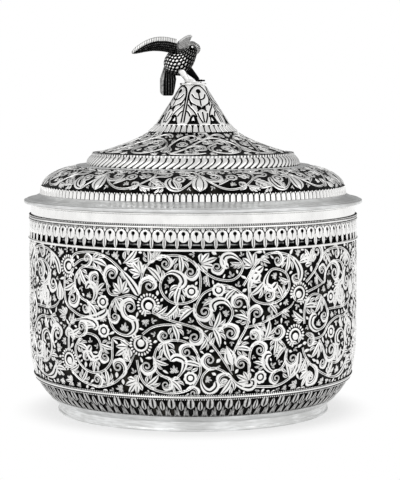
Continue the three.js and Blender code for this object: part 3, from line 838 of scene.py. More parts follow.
def catmull(points, steps=8):
    padded = [points[0], *points, points[-1]]
    result = []
    for i in range(len(points) - 1):
        a, b, c, d = (Vector(p) for p in padded[i:i + 4])
        for k in range(steps):
            t = k / steps
            result.append(0.5 * (2 * b + (c - a) * t + (2 * a - 5 * b + 4 * c - d) * t * t
                                 + (3 * b - a - 3 * c + d) * t ** 3))
    result.append(Vector(points[-1]))
    return result


# What fills a gap: the least gap, how far the root stands back, and the gap at full size
fillers = {"palmette": (2.4, 0.7, 3.6), "trefoil": (1.7, 0.9, 3.0)}


class Pattern:  # stems and motifs in the flat; what sits beside a stem turns with it
    def __init__(self, seed, period):
        self.lines = []
        self.spots = []
        self.period = period
        self.random = random.Random(seed)
        self.trail = []  # (place, direction of growth)

    def stem(self, points, hook=True, thick=stemShape["thick"]):
        p = stemShape
        line = catmull(points)
        reach = [0.0]
        for a, b in zip(line, line[1:]):
            reach.append(reach[-1] + (b - a).length)
        radii = []
        for s in reach:
            left = reach[-1] - s
            if hook and left < p["hook"]:  # the end opens into a broad hook with a point
                t = left / p["hook"]
                broad = 1 + p["swell"] * math.sin(math.pi * t ** 0.6) if t > 0 else p["point"]
                radii.append(thick * broad)
            elif not hook and left < p["taper"]:
                radii.append(thick * (p["end"] + (1 - p["end"]) * left / p["taper"]))
            else:
                radii.append(thick)
        self.lines.append(([tuple(spot) for spot in line], radii))
        for a, b in zip(line, line[1:]):
            if (b - a).length > 1e-6:
                self.trail.append(((a + b) / 2, (b - a).normalized()))

    def nearest(self, spot):
        place, grow = min(self.trail, key=lambda entry: self.apart(entry[0], spot))
        shift = Vector((round((spot.x - place.x) / self.period) * self.period, 0))
        return place + shift, grow

    def apart(self, a, b):
        du = a.x - b.x
        du -= round(du / self.period) * self.period
        return math.hypot(du, a.y - b.y)

    def put(self, kind, spot, turn=0.0, size=1.0):
        self.spots.append((motifNames.index(kind), tuple(spot), turn, size))

    def curls(self, spots, least=0.78, most=1.3):
        for spot in spots:
            centre = Vector(spot)
            near, grow = self.nearest(centre)
            right = grow.x * (centre.y - near.y) - grow.y * (centre.x - near.x) < 0
            size = min(max((centre - near).length / curlShape["off"], least), most)
            self.put("curlRight" if right else "curlLeft", centre, math.atan2(grow.y, grow.x), size)

    def leaves(self, kind, spots, shortest=5.0, longest=9.5, back=2.0):  # kind: its name, or with a side
        for spot in spots:
            centre = Vector(spot)
            near, grow = self.nearest(centre)
            base = near - grow * back
            aim = centre - base
            reach = min(max(2 * aim.length, shortest), longest)
            right = grow.x * aim.y - grow.y * aim.x < 0
            label = kind if kind in motifs else kind + ("Right" if right else "Left")
            base = centre - aim.normalized() * reach / 2
            self.put(label, base, math.atan2(aim.y, aim.x), reach / leafLength)

    def points(self):  # where the pattern already holds metal
        found = []
        for line, radii in self.lines:
            for (x, y), r in zip(line, radii):
                found.append((x, y, 0.8 * r))
        for kind, spot, turn, size in self.spots:
            c = math.cos(turn) * size
            s = math.sin(turn) * size
            for x, y, _ in motifs[motifNames[kind]].verts[::2]:
                found.append((spot[0] + x * c - y * s, spot[1] + x * s + y * c, 0.25))
        return found

    def fill(self, low, high, left, right, grid=0.55, least=1.15, margin=0.5):
        # small leaves and seeds in what is left of the ground, the widest gaps first
        held = self.points()
        columns = max(round((right - left) / grid), 1)
        rows = max(round((high - low) / grid), 1)
        us, vs = np.meshgrid(left + (np.arange(columns) + 0.5) * (right - left) / columns,
                             low + (np.arange(rows) + 0.5) * (high - low) / rows)
        room = np.minimum(vs - low, high - vs) + 0.2
        nearU = np.zeros_like(us)
        nearV = np.zeros_like(vs)

        def claim(x, y, r):
            du = x - us
            du -= np.round(du / self.period) * self.period
            gap = np.hypot(du, y - vs) - r
            closer = gap < room
            room[closer] = gap[closer]
            nearU[closer] = du[closer]
            nearV[closer] = (y - vs)[closer]

        for x, y, r in held:
            claim(x, y, r)
        placed = 0
        while True:
            k = int(np.argmax(room))
            gap = float(room.flat[k])
            if gap < least:
                break
            x = float(us.flat[k])
            y = float(vs.flat[k])
            away = math.atan2(-float(nearV.flat[k]), -float(nearU.flat[k]))
            size = gap - margin
            for kind, (wide, back, full) in fillers.items():
                if gap > wide:
                    root = (x - size * back * math.cos(away), y - size * back * math.sin(away))
                    self.put(kind, root, away, size / full)
                    break
            else:
                self.put(self.random.choice(("seed", "drop")), (x, y),
                         away + self.random.uniform(-0.5, 0.5), size)
            claim(x, y, gap * 0.85)
            placed += 1
        print("  fillers:", placed)

    def build(self, name, band, body, replaced):
        places = newObject(name + "Spots", [(*spot, 0) for _, spot, _, _ in self.spots], [])
        for label, form, column in (("kind", "INT", 0), ("turn", "FLOAT", 2), ("size", "FLOAT", 3)):
            field = places.data.attributes.new(label, form, "POINT")
            field.data.foreach_set("value", [entry[column] for entry in self.spots])
        stems = curveObject(name + "Stems", self.lines)
        useTree(places, stemWork, {"Motifs": motifShelf, "Stems": stems, "Section": sectionObject,
                                   "Stem Step": stemShape["step"] * mm, **band.values(),
                                   "Finish": finishes["chased_silver"]})
        piece = bake(places, name, body, replaced)
        bpy.data.objects.remove(stems)
        return piece


def turned(piece, angle, name, body, replaced):  # a copy, turned about the axis in its mesh
    twin = bpy.data.objects.new(name, piece.data.copy())
    twin.data.transform(Matrix.Rotation(angle, 4, "Z"))
    twin.data.name = name
    bpy.context.collection.objects.link(twin)
    return seat(twin, body, replaced)


print("motifs ready:", len(motifs))


# Body: its outline is that of the frame's wall

bodyShape = {"belly": 49.6, "power": 4.4, "taperStart": 84, "taperEnd": 111, "taper": 1.1}
bodyFoot = foot("leaf_border")
bodyRadius = (radius("mouth_border") + bodyShape["taper"] * (foot("mouth_border") - bodyShape["taperStart"])
              / (bodyShape["taperEnd"] - bodyShape["taperStart"]))
footRadius = 72.8
plate = {"ground": -0.4, "wall": 1.2}


def wallRadius(z):
    p = bodyShape
    t = min(max((z - bodyFoot) / p["belly"], 0), 1)
    lean = p["taper"] * max(0, (z - p["taperStart"]) / (p["taperEnd"] - p["taperStart"]))
    return bodyRadius - (bodyRadius - footRadius) * (1 - t) ** p["power"] - lean


def wallLine(low, high, out, steps=24):
    return offsetLine(wallRadius, low, high, out, steps)


# a near-black ring under a band's relief: painted shade for the dark seen through and between the relief
def groundRing(name, outer, inner, body, replaced, finishName="dark_silver"):
    ring = lathe(name, outer + inner[::-1], 240)
    ring.data.materials.append(finishes[finishName])
    shade(ring)
    return seat(ring, body, replaced)


scrollBand = Band("scroll", wallLine(foot("scroll_wall"), top("scroll_wall"), plate["ground"], 60), 87.5,
                  depth=0.65)

scroll = {
    "tile": 183.4,
    "right": 109,
    "hooks": [
        [(-26.5, 71), (-26, 75), (-24.5, 82), (-20, 87.5), (-12, 90), (-5, 89.7), (0, 87), (3, 83), (4, 77),
         (3, 71), (0, 68), (-5, 66.5), (-10, 67), (-14, 70), (-16, 75), (-14, 80), (-10, 82), (-6, 80.5),
         (-4.5, 77), (-7, 74)],
        [(-28, 38), (-27, 32), (-25, 27), (-20, 23.5), (-12, 21.8), (-5, 22.5), (0, 25), (3, 30), (4, 34),
         (3, 40), (0, 45), (-5, 48), (-12, 48), (-17, 45), (-19, 40), (-18, 33), (-14, 30), (-9, 29),
         (-5, 33), (-4, 38), (-8, 40), (-11, 38)],
        [(20, 29), (15, 33), (10, 34.5), (6, 32), (4.5, 28), (6, 24), (9, 22.5), (12, 25), (11.5, 28)],
        [(20, 33), (20, 40), (23, 47), (27, 54), (28.5, 60), (27, 68), (22, 73), (15, 75.5), (9, 73.5),
         (5, 71), (2, 66), (1.5, 62), (3.5, 57), (8, 54.5), (14, 54), (18, 57), (20, 62), (17, 67),
         (13, 68), (10, 66), (11, 62.5)],
        [(25.5, 75), (28, 79), (31, 84), (35, 88), (40, 90.5), (48, 90), (54, 87), (58, 81), (57.5, 76)],
        [(28, 64), (28.5, 70), (29, 76), (32, 81), (36, 84)],
        [(29, 78), (29, 72), (31, 68), (35, 66), (41, 65.5), (47, 68), (51, 73), (50, 79), (46, 82),
         (41, 82.5), (38, 79), (37.5, 75), (41, 73), (44, 76)],
        [(2.5, 86), (5, 83), (10, 79.5), (15, 78), (20, 78), (24, 81), (25, 86), (20, 90), (16, 89.5),
         (15.5, 86), (18, 84)],
        [(29, 28), (28.5, 37), (30, 44), (35, 47.5), (42, 48), (47, 45.5), (49.5, 40), (48, 34), (44, 31.5),
         (40, 32), (37, 36), (38, 40), (41, 40)],
        [(19, 30), (23, 26), (28, 24), (31, 24.5), (31.5, 27), (29.5, 27.5)],
        [(31, 24.5), (37, 24), (45, 24), (52, 27), (57, 32), (58, 40)],
        [(62, 75), (68, 80), (75, 88), (82, 90.5), (90, 90.5), (97, 89), (104, 84), (106, 78)],
        [(68, 80), (73, 75), (76, 74), (77, 79), (80, 82), (86, 84), (92, 83), (96, 79), (95, 74),
         (91, 72)],
        [(61, 54), (61, 60), (63, 66), (68, 68.5), (74, 66.5), (78, 61), (79, 56), (76, 51.5), (70, 50),
         (66, 53), (67, 57), (70, 57.5)],
        [(60, 42), (61.5, 38), (65, 34), (70, 30.5), (77, 27), (85, 24.5), (92, 24), (98, 26), (102, 31)],
        [(72, 45), (75, 41), (77, 37), (80, 33.5), (84, 32), (90, 31.5), (95, 34), (98, 39), (97, 45),
         (93, 48), (88.5, 46), (88.5, 42), (92, 41)],
        [(-68, 86), (-65, 89), (-58, 90.3), (-50, 90), (-43, 87.5), (-36, 82), (-30, 75), (-27, 70)],
        [(-38, 70), (-42, 70), (-43.8, 72), (-45, 77), (-49, 82), (-55, 83), (-60, 82.5), (-64.5, 78),
         (-65, 73), (-63, 69), (-58, 66), (-54, 65.5), (-51.5, 69), (-52, 73), (-55.5, 74.5), (-57.5, 72)],
        [(-28, 68.5), (-32, 70), (-36, 69), (-40, 67.5), (-43, 62), (-42.5, 56), (-39, 51.5), (-33, 50),
         (-29, 53), (-29.5, 57.5), (-33.5, 59)],
        [(-31, 45), (-36, 48), (-41, 48), (-41.5, 43), (-42, 37), (-46, 32), (-52, 30), (-58, 31),
         (-63, 35), (-65, 41), (-63, 45), (-60, 48.5), (-55, 49.5), (-50, 47.5), (-48, 42), (-50, 38),
         (-54, 37.5), (-56, 41), (-54, 43.5)],
        [(-73, 77), (-73, 68), (-71, 63), (-65, 59.5), (-60, 58), (-52, 58), (-46, 60.5), (-45, 63)],
        [(-70, 40), (-70, 46), (-69, 53), (-63, 56), (-55, 56.5), (-51, 54), (-53, 52)],
    ],
    "stems": [
        [(-20, 62), (-12, 58.5), (0, 55), (5, 52), (10, 46), (15, 39), (20, 31)],
        [(-25, 51), (-20, 54.5), (-13, 56), (-5, 55.5)],
        [(26, 54), (35, 56), (45, 60), (52, 63.5), (54, 66)],
        [(-68, 29), (-62, 25), (-52, 23), (-44, 24.5), (-38, 28), (-33, 34), (-29, 41)],
        [(62, 49), (68, 46), (75, 47), (80, 52), (88, 55), (96, 55), (102, 58)],
        [(80, 60), (88, 60), (96, 60), (103, 62), (107, 66)],
        [(63, 70), (70, 72), (76, 74)],
        [(-66, 83), (-60, 86.5), (-52, 86.5)],
    ],
    "flowers": [(-22, 65.5, 115), (-26, 46, -100), (57.5, 69.5, 60), (55, 48.5, 115), (-70, 82.5, 175),
                (-70, 35, 115)],
    "rosettes": [(-0.5, 72.5), (-1, 29.5), (13, 73.2), (-47, 66), (-46.5, 51.5), (31.5, 79.5), (35, 29),
                 (82, 66), (82.5, 48)],
    "curls": [
        (-13.5, 86), (-1, 82), (-21.5, 75), (-3, 42.5), (-23, 35), (-13.5, 26), (0.5, 21.8), (1, 49.8),
        (8.5, 38.5), (-14, 50.5), (-31.5, 64), (15.5, 28), (6, 62.5), (23, 66.5), (19, 51.5), (24.5, 36),
        (31, 49.8), (12, 84.5), (44, 87), (39, 69.7), (55.5, 78), (32.5, 61), (44.5, 51.5), (34.3, 42.5),
        (44, 27.8), (53.5, 37), (70, 90), (74, 80), (87.5, 88), (85.5, 78), (76, 57), (65, 45), (83, 38.5),
        (75.5, 33), (67, 26), (-57, 87), (-51.5, 77.5), (-41.5, 80), (-67, 66.5), (-40, 59), (-57, 37.5),
        (-46, 38.5), (-38.5, 34), (-51.5, 26.5), (-70, 48), (-60.5, 52.5), (100, 73), (104, 47),
        (93, 67), (-58, 62.5),
    ],
    "leaves": [
        (-5.5, 86), (-18.5, 81), (-7.5, 71), (-31, 89), (-21.5, 89.5), (-13, 43), (-16, 37), (0, 37),
        (-20, 27.5), (-8, 26), (6, 46.5), (-8, 52.3), (12.5, 50), (-15, 62.5), (17.5, 24.5), (12.5, 57.5),
        (25, 59.5), (25.5, 44), (18.5, 71), (34, 52), (39, 52), (37, 87), (50.5, 85), (33.5, 73),
        (46, 71.5), (42, 63), (49, 60), (34.5, 36), (43.5, 44), (51.5, 31.5), (79, 86.5), (94, 64),
        (66, 63), (72, 63), (70, 40), (89.5, 36), (83, 28.5), (-49, 86), (-60, 77.5), (-49, 73),
        (-53, 62), (-69, 72), (-67, 56), (-38, 64.5), (-60, 43), (-52.5, 34), (-45, 43.5), (-59.5, 27.5),
        (-45, 28), (-66, 31), (98, 85), (101, 53), (100, 36), (105, 30), (61, 33),
    ],
    "spurs": [
        (8, 67), (-3, 61.5), (-10, 62.5), (7.5, 78), (46, 40.5), (48, 77), (-55, 53), (-65.5, 49.5),
        (93, 52), (88, 64), (-47, 58), (62, 86), (70, 75.5), (22, 86), (-28, 28), (-33, 40), (57, 58),
        (40, 58), (-35, 80), (16, 42),
    ],
    "palmettes": [(-28.5, 84), (8, 87.5), (29, 88.5), (25.5, 29), (64, 88), (-37, 75), (-36, 42), (63, 26),
                  (-31, 24), (88, 70), (-17, 91)],
    "buds": [(17, 45, -72), (-77, 74, -90)],
    "seed": 7,
}


def makeScroll(p):
    pattern = Pattern(p["seed"], p["tile"])
    for line in p["hooks"]:
        pattern.stem(line)
    for line in p["stems"]:
        pattern.stem(line, False)
    for x, y, turn in p["flowers"]:
        pattern.put("flower", (x, y), math.radians(turn))
    for spot in p["rosettes"]:
        pattern.put("rosette", spot, pattern.random.uniform(0, 1), 0.98)
    for x, y, turn in p["buds"]:
        pattern.put("bud", (x, y), math.radians(turn), 1.5)
    pattern.curls(p["curls"])
    pattern.leaves("leaf", p["leaves"])
    pattern.leaves("spur", p["spurs"])
    pattern.leaves("palmette", p["palmettes"])
    low = scrollBand.start
    pattern.fill(low, low + scrollBand.height, p["right"] - p["tile"], p["right"])
    first = pattern.build("scroll_field_a", scrollBand, "base", ["scroll_wall"])
    for i, name in ((1, "scroll_field_b"), (2, "scroll_field_c")):
        turned(first, math.radians(120 * i), name, "base", ["scroll_wall"])
    print("scroll field:", len(first.data.polygons), "faces a tile")
    low, high = ends("scroll_wall")
    groundRing("scroll_ground", wallLine(low, high, plate["ground"]), wallLine(low, high, -plate["wall"]),
               "base", ["scroll_wall"])


makeScroll(scroll)


# Borders: one cell repeated round a band

def borderTree():
    graph, given = newTree("repeatedBorder", {"Cell": "Object", "Count": "Int", "Pitch": "Float",
                                              "Shift": "Float", **bandSockets, "Finish": "Material"})
    line = graph.add("GeometryNodeMeshLine", {"mode": "OFFSET"},
                     {"Count": given["Count"], "Start Location": graph.xyz(given["Shift"], 0, 0),
                      "Offset": graph.xyz(given["Pitch"], 0, 0)})
    cell = graph.add("GeometryNodeObjectInfo", None, {"Object": given["Cell"]}).out("Geometry")
    placed = graph.add("GeometryNodeInstanceOnPoints", None, {"Points": line, "Instance": cell})
    flat = graph.add("GeometryNodeRealizeInstances", None, {0: placed})
    closedRing = graph.add("GeometryNodeMergeByDistance", None,
                           {"Geometry": wrap(graph, flat, given), "Distance": 0.002 * mm})
    real = graph.add("GeometryNodeRealizeInstances", None, {0: closedRing})
    return closeTree(graph, graph.add("GeometryNodeSetMaterial", None,
                                      {"Geometry": real, "Material": given["Finish"]}))


borderWork = borderTree()


def border(name, band, motif, count, body, replaced, shift=0.0):
    cell = newObject(name + "Cell", motif.verts, motif.faces, False)
    faceOut(cell)
    holder = newObject(name, [(0, 0, 0)], [])
    useTree(holder, borderWork, {"Cell": cell, "Count": count, "Shift": shift * mm,
                                 "Pitch": 2 * math.pi * band.girth / count * mm,
                                 **band.values(), "Finish": finishes["chased_silver"]})
    piece = bake(holder, name, body, replaced)
    bpy.data.objects.remove(cell)
    return piece


def plainRing(name, outline, body, replaced, finishName="polished_silver", corner=0.0, steps=240, angle=30):
    ring = lathe(name, bevelled(outline, corner) if corner else outline, steps)
    ring.data.materials.append(finishes[finishName])
    shade(ring, angle)
    return seat(ring, body, replaced)


footShape = {"wall": 3.2, "flare": 0.4, "edge": 1.0, "round": 0.5}


def makeFoot(p):
    r = radius("foot_ring") - p["flare"]
    high = top("foot_ring")
    inner = r - p["wall"]
    outline = [(inner, 0), (r + p["flare"], 0), (r + p["flare"], p["edge"]), (r, p["edge"] + 0.5),
               (r, high), (inner, high)]
    plainRing("foot_band", outline, "base", ["foot_ring"], "satin_silver", p["round"])


leafBorder = {
    "count": 54,
    "turn": -0.63,
    "plain": 3.2,
    "lip": 0.75,
    "tall": (7.9, 14.3, 4.5),  # foot, tip and width of a leaf
    "short": (7.0, 12.3, 3.0),
    "ribFoot": 3.5,
    "ribs": [(0.65, 1.35, 7.6, 1.15, 0.34), (2.05, 2.35, 9.6, 0.9, 0.12), (3.15, 2.9, 9.0, 0.75, 0.0)],
    "edgeRib": (0.7, 1.3, 6.9, 1.05, -0.3),  # its places are counted from the cell's edge
}


def leafCell(p, pitch, low):
    cell = Motif()
    half = pitch / 2
    start, tip, width = p["tall"]
    cell.petal((0, low + start), (0, low + tip), width, full=0.36, section=shallow, steps=9)
    start, tip, width = p["short"]
    cell.petal((half, low + start), (half, low + tip), width, full=0.38, section=shallow, steps=8)
    root, tip, *rest = p["edgeRib"]
    ribs = [*p["ribs"][:2], (half - root, half - tip, *rest), *p["ribs"][2:]]
    for side in (-1, 1):
        for root, tip, rise, width, bend in ribs:
            cell.petal((side * root, low + p["ribFoot"]), (side * tip, low + rise), width, bend=side * bend,
                       section=shallow, steps=6)
    return cell


def makeLeafBorder(p):
    low, high = ends("leaf_border")
    band = Band("leaf", wallLine(low, high, plate["ground"]), wallRadius(low + 9))
    pitch = 2 * math.pi * band.girth / p["count"]
    border("leaf_relief", band, leafCell(p, pitch, low), p["count"], "base", ["leaf_border"],
           band.girth * math.radians(p["turn"]))
    groundRing("leaf_ground", wallLine(low, high, plate["ground"]), wallLine(low, high, -plate["wall"]),
               "base", ["leaf_border"])
    edge = wallLine(low, low + p["plain"], plate["ground"] + p["lip"], 8)
    back = wallLine(low, low + p["plain"], plate["ground"] - 0.2, 8)
    plainRing("leaf_foot", edge + back[::-1], "base", ["leaf_border"], "satin_silver")


wireShape = {"height": 1.5, "proud": 0.95, "inset": 0.1, "back": 0.6, "beadPitch": 1.15, "bead": 0.42,
             "beadLift": 0.35}


def beadCell(size, at):
    return Motif().disc([(size, -0.3), (size, 0.3), (size * 0.75, 0.56), (size * 0.3, 0.68)], steps=8,
                        at=(0, at))


def wire(name, node, p, beads=()):  # beads: heights over the wire's middle, where a dotted line runs
    middle = sum(ends(node)) / 2
    tall = p["height"] / 2
    wall = wallRadius(middle)
    proud = p["proud"] + p["inset"]
    points = []
    for i in range(9):
        a = math.pi * (i / 8 - 0.5)
        points.append((wall - p["inset"] + proud * math.cos(a), middle + tall * math.sin(a)))
    points += [(wall - p["back"], middle + tall), (wall - p["back"], middle - tall)]
    plainRing(name, points, "base", [node], angle=60)
    for k, lift in enumerate(beads):
        line = wallLine(middle + lift - 1, middle + lift + 1, p["beadLift"], 6)
        band = Band(name + "Bead", line, wall)
        count = round(2 * math.pi * band.girth / p["beadPitch"])
        border(f"{name}_beads_{k + 1}", band, beadCell(p["bead"], middle + lift), count, "base", [node])


mouthBorder = {"count": 86, "turn": 1.3, "sill": 0.9, "hole": 2.8, "holeFoot": 4.6, "holeTop": 3.2,
               "wall": 0.8, "tongueWidth": 5.85, "tongueHeight": 6.4, "tongueRise": 6.9, "keyRise": 0.95,
               "keyHead": 0.78, "keyNeck": (0.2, 0.1), "keyFoot": 2.3}


def windowPanel(p, half, low, high):  # the sheet round one opening, with the opening's wall
    sill = low + p["sill"]
    lintel = sill + p["hole"]
    broad = p["holeFoot"] / 2
    narrow = p["holeTop"] / 2 + 0.35
    steps = 12
    hole = []  # a round-topped opening, anticlockwise from the right foot
    for i in range(steps + 1):
        a = math.pi * i / steps
        reach = broad
        rise = 0
        if 0 < i < steps:
            rise = 0.5 + 0.5 * math.sin(a) ** 0.5
            reach = narrow + (broad - narrow) * (1 - rise)
        hole.append((reach * math.cos(a), sill + (lintel - sill) * rise))
    hole.append((0, sill))
    panel = []
    for i in range(steps + 1):
        a = i / steps
        if a < 0.25:
            panel.append((half, low + (high - low) * a / 0.25))
        elif a > 0.75:
            panel.append((-half, low + (high - low) * (1 - a) / 0.25))
        else:
            panel.append((half - 2 * half * (a - 0.25) / 0.5, high))
    panel.append((0, low))
    count = len(hole)
    verts = []
    for points, height in ((panel, 0), (hole, 0), (hole, -p["wall"]), (panel, -p["wall"])):
        verts += [(x, y, height) for x, y in points]
    faces = ringFaces(4, count, False)
    for i in range(count):  # the band's upper and lower edges; its sides meet the next cell
        n = (i + 1) % count
        if panel[i][1] == panel[n][1]:
            faces.append((3 * count + i, 3 * count + n, n, i))
    return verts, faces


def keyedTongue(p, middle, steps=24):  # an oval plate with a keyhole sunk into it
    lowest = steps * 3 // 4
    neck, drop = p["keyNeck"]
    head = p["keyHead"]
    outer = []
    key = []
    for i in range(steps):
        a = 2 * math.pi * i / steps
        outer.append((p["tongueWidth"] / 2 * math.cos(a), middle + p["tongueHeight"] / 2 * math.sin(a)))
        if i == lowest:
            key.append((0, middle - p["keyFoot"]))
        elif abs(i - lowest) == 1:
            key.append((neck * (i - lowest), middle - drop))
        else:
            key.append((head * math.cos(a), middle + p["keyRise"] + head * math.sin(a)))
    verts = []
    centre = Vector((0, middle))
    for points, height, shrink in ((outer, -0.15, 1), (outer, 0.6, 1), (outer, 0.86, 0.9), (key, 0.84, 1.25),
                                   (key, 0.2, 1), (key, -0.15, 1)):
        for x, y in points:
            spot = centre + (Vector((x, y)) - centre) * shrink
            verts.append((spot.x, spot.y, height))
    return verts, ringFaces(6, steps)


def mouthCell(p, pitch, low, high):
    cell = Motif()
    half = pitch / 2
    middle = low + p["tongueRise"]
    cell.add(*windowPanel(p, half, low, high))
    cell.add(*keyedTongue(p, middle))
    cell.petal((half, middle - 0.6), (half, low + 0.5), 2.3, full=0.52, steps=8)
    cell.petal((half, high + 0.2), (half, middle + 1.5), 2.2, full=0.36, section=domed)
    cell.strip([(-half, high - 0.35), (half, high - 0.35)], [(0.42, 0.42)] * 2, domed)
    return cell


def makeMouthBorder(p):
    low, high = ends("mouth_border")
    band = Band("mouth", wallLine(low, high, plate["ground"]), wallRadius((low + high) / 2))
    pitch = 2 * math.pi * band.girth / p["count"]
    border("mouth_tongues", band, mouthCell(p, pitch, low, high), p["count"], "base", ["mouth_border"],
           band.girth * math.radians(p["turn"]))


rimShape = {"wall": 2.0, "lip": 0.5, "thick": 1.7}


def makeRim(p):
    low, high = ends("rim_band")
    below = wallRadius(low)
    mouth = wallRadius(high)
    lip = p["lip"]
    outline = [(below - p["wall"] + 0.3, low), (below, low), (mouth, high - 2.2 * lip),
               (mouth + lip, high - 1.6 * lip), (mouth + lip, high - 0.5 * lip), (mouth + 0.2, high),
               (mouth - p["thick"], high), (mouth - p["thick"], low + 1.5)]
    plainRing("rim_ring", outline, "base", ["rim_band"], corner=0.25)


makeFoot(footShape)
makeLeafBorder(leafBorder)
wire("leaf_bead_wire", "leaf_wire", wireShape, (-1.05, 1.05))
wire("scroll_bead_wire", "scroll_wire", wireShape)
makeMouthBorder(mouthBorder)
wire("mouth_bead_wire", "mouth_wire", wireShape, (-1.05, 1.0))
makeRim(rimShape)
print("base borders ready")


# Liner: the dark cup and its bright rolled edge

linerShape = {"wall": 0.9, "corner": 24.0, "roll": 0.9}


def makeLiner(p):
    r = radius("liner_cup")
    low, high = ends("liner_cup")

    def bend(size):
        return [(r - p["corner"] + size * math.sin(a), low + p["corner"] - size * math.cos(a))
                for a in (math.radians(6 * i) for i in range(1, 16))]

    outer = [(0.4, low), *bend(p["corner"]), (r, high)]
    inner = [(r - p["wall"], high), *bend(p["corner"] - p["wall"])[::-1], (0.4, low + p["wall"])]
    plainRing("liner_shell", outer + inner, "liner", ["liner_cup"], "dark_silver", steps=180)
    middle = r - p["wall"] / 2
    roll = [(middle + p["roll"] * math.cos(a), high + p["roll"] * (1 + math.sin(a)))
            for a in (math.tau * i / 12 for i in range(12))]
    plainRing("liner_roll", roll, "liner", ["liner_rim"], "satin_silver", angle=60)


makeLiner(linerShape)
print("liner ready")


# Lid

lidShape = {"wall": 1.2, "edge": 1.6, "round": 0.25, "bezelWall": 1.1, "bezelLead": 0.4, "bezelRound": 0.2}


def makeFlange(p):
    low, high = ends("lid_flange")
    rim = radius("lid_flange")
    seatRadius = radius("lid_tongue_border")
    inner = radius("lid_bezel") - p["bezelWall"]
    edge = low + p["edge"]
    outline = [(inner, low), (rim - 0.3, low), (rim, low + 0.4), (rim, edge), (rim - 1.2, edge + 0.25),
               (rim - 1.6, edge + 0.75), (rim - 4.5, edge + 1.2), (seatRadius + 1.0, high - 0.4),
               (seatRadius + 0.5, high), (seatRadius - p["wall"], high)]
    plainRing("flange_ring", outline, "lid", ["lid_flange"], "satin_silver", p["round"])
    low, high = ends("lid_bezel")
    outer = radius("lid_bezel")
    plainRing("bezel_ring", [(inner, low), (outer - p["bezelLead"], low), (outer, low + 0.8), (outer, high),
                             (inner, high)], "lid", ["lid_bezel"], corner=p["bezelRound"])


lidTongues = {"count": 164, "turn": 1.1, "gap": 0.5, "back": 1.0}


def makeLidTongues(p):
    low, high = ends("lid_tongue_border")
    outer = radius("lid_tongue_border")
    line = [(outer - 0.4, low), (outer - 0.9, high)]
    band = Band("lidTongue", line, outer)
    pitch = 2 * math.pi * outer / p["count"]
    half = (pitch - p["gap"]) / 2
    path = [(0, low + rise) for rise in (-0.02, 0.4, 1.6, 2.9, 3.4, 3.75, 3.9)]
    widths = [(half * w, half * w) for w in (1, 1, 1, 0.97, 0.8, 0.5, 0.15)]
    cell = Motif().strip(path, widths, fluted(0.68))
    cell.petal((pitch / 2, low + 4.25), (pitch / 2, low + 3.2), 0.8, section=domed, steps=4)
    border("lid_tongues", band, cell, p["count"], "lid", ["lid_tongue_border"],
           math.radians(p["turn"]) * outer)
    back = [(r - p["back"], z) for r, z in line]
    groundRing("lid_tongue_ground", line, back, "lid", ["lid_tongue_border"])


domeShape = {"reach": 18.3, "rise": 10.2, "power": 1.7, "landing": 1.8, "steps": 40}
domeTopRadius = radius("lid_step") - 0.3
domeStart = foot("lid_dome")


def domeLine(out):
    p = domeShape
    line = []
    for i in range(p["steps"] + 1):
        a = math.pi / 2 * i / p["steps"]
        line.append(Vector((domeTopRadius + p["reach"] * max(0, math.cos(a)) ** (2 / p["power"]),
                            domeStart + p["rise"] * math.sin(a) ** (2 / p["power"]))))
    line.append(Vector((domeTopRadius - p["landing"], domeStart + p["rise"])))
    moved = []
    for i, spot in enumerate(line):
        along = line[min(i + 1, len(line) - 1)] - line[max(i - 1, 0)]
        across = Vector((along.y, -along.x)).normalized()
        moved.append(tuple(spot + across * out))
    return moved


spireShape = {"tip": 6.6, "slope": 0.635, "reach": 21.97, "flare": 15.0}
coneFoot = foot("finial_cone")
coneTop = top("finial_cone")


def spireRadius(z):
    p = spireShape
    f = max(0, (coneFoot - z) / p["flare"])
    return p["tip"] + p["slope"] * (coneTop - z) + p["reach"] * f * f


def spireLine(low, high, out, steps=24):
    return offsetLine(spireRadius, low, high, out, steps)


domeBand = Band("dome", domeLine(plate["ground"]), radius("lid_dome"), True, depth=0.5)

dome = {
    "repeats": 9,
    "turn": 1.8,
    "thick": 0.74,
    "hooks": [
        [(56.2, 15.5), (54.6, 9.5), (51.5, 4.8), (47.5, 1.9), (43, 2.7), (40.8, 6.5), (42, 10.5)],
        [(0.6, 15.5), (3, 11.5), (7.5, 6), (13, 2.6), (19, 2.0), (25, 4), (30, 8.3), (35, 12), (39, 12.6),
         (41, 15), (39, 17), (36.5, 16)],
        [(30, 8.5), (32.5, 13), (31.5, 17.5), (28, 20), (23.5, 19.5), (23, 17)],
        [(0.6, 15.5), (2, 19), (6.5, 22), (12, 22), (15.5, 19), (14, 16.5)],
        [(55.8, 15.5), (54.5, 19), (50.5, 22), (45.5, 22.4), (43.5, 19.5)],
    ],
    "stems": [],
    "rosettes": [(46.6, 9.5), (19.2, 11.5)],
    "single": [("bud", 1.2, 13.0, -90, 1.9)],
    "curls": [(9.6, 12), (23, 4.8), (50.5, 16.5), (35.5, 21), (8, 18)],
    "leaves": [(53, 11.5), (34.3, 6), (26.8, 13), (36.5, 3.4), (48, 19.5)],
    "spurs": [(45.5, 4.8), (14, 7), (29.5, 3.2)],
    "seed": 11,
}


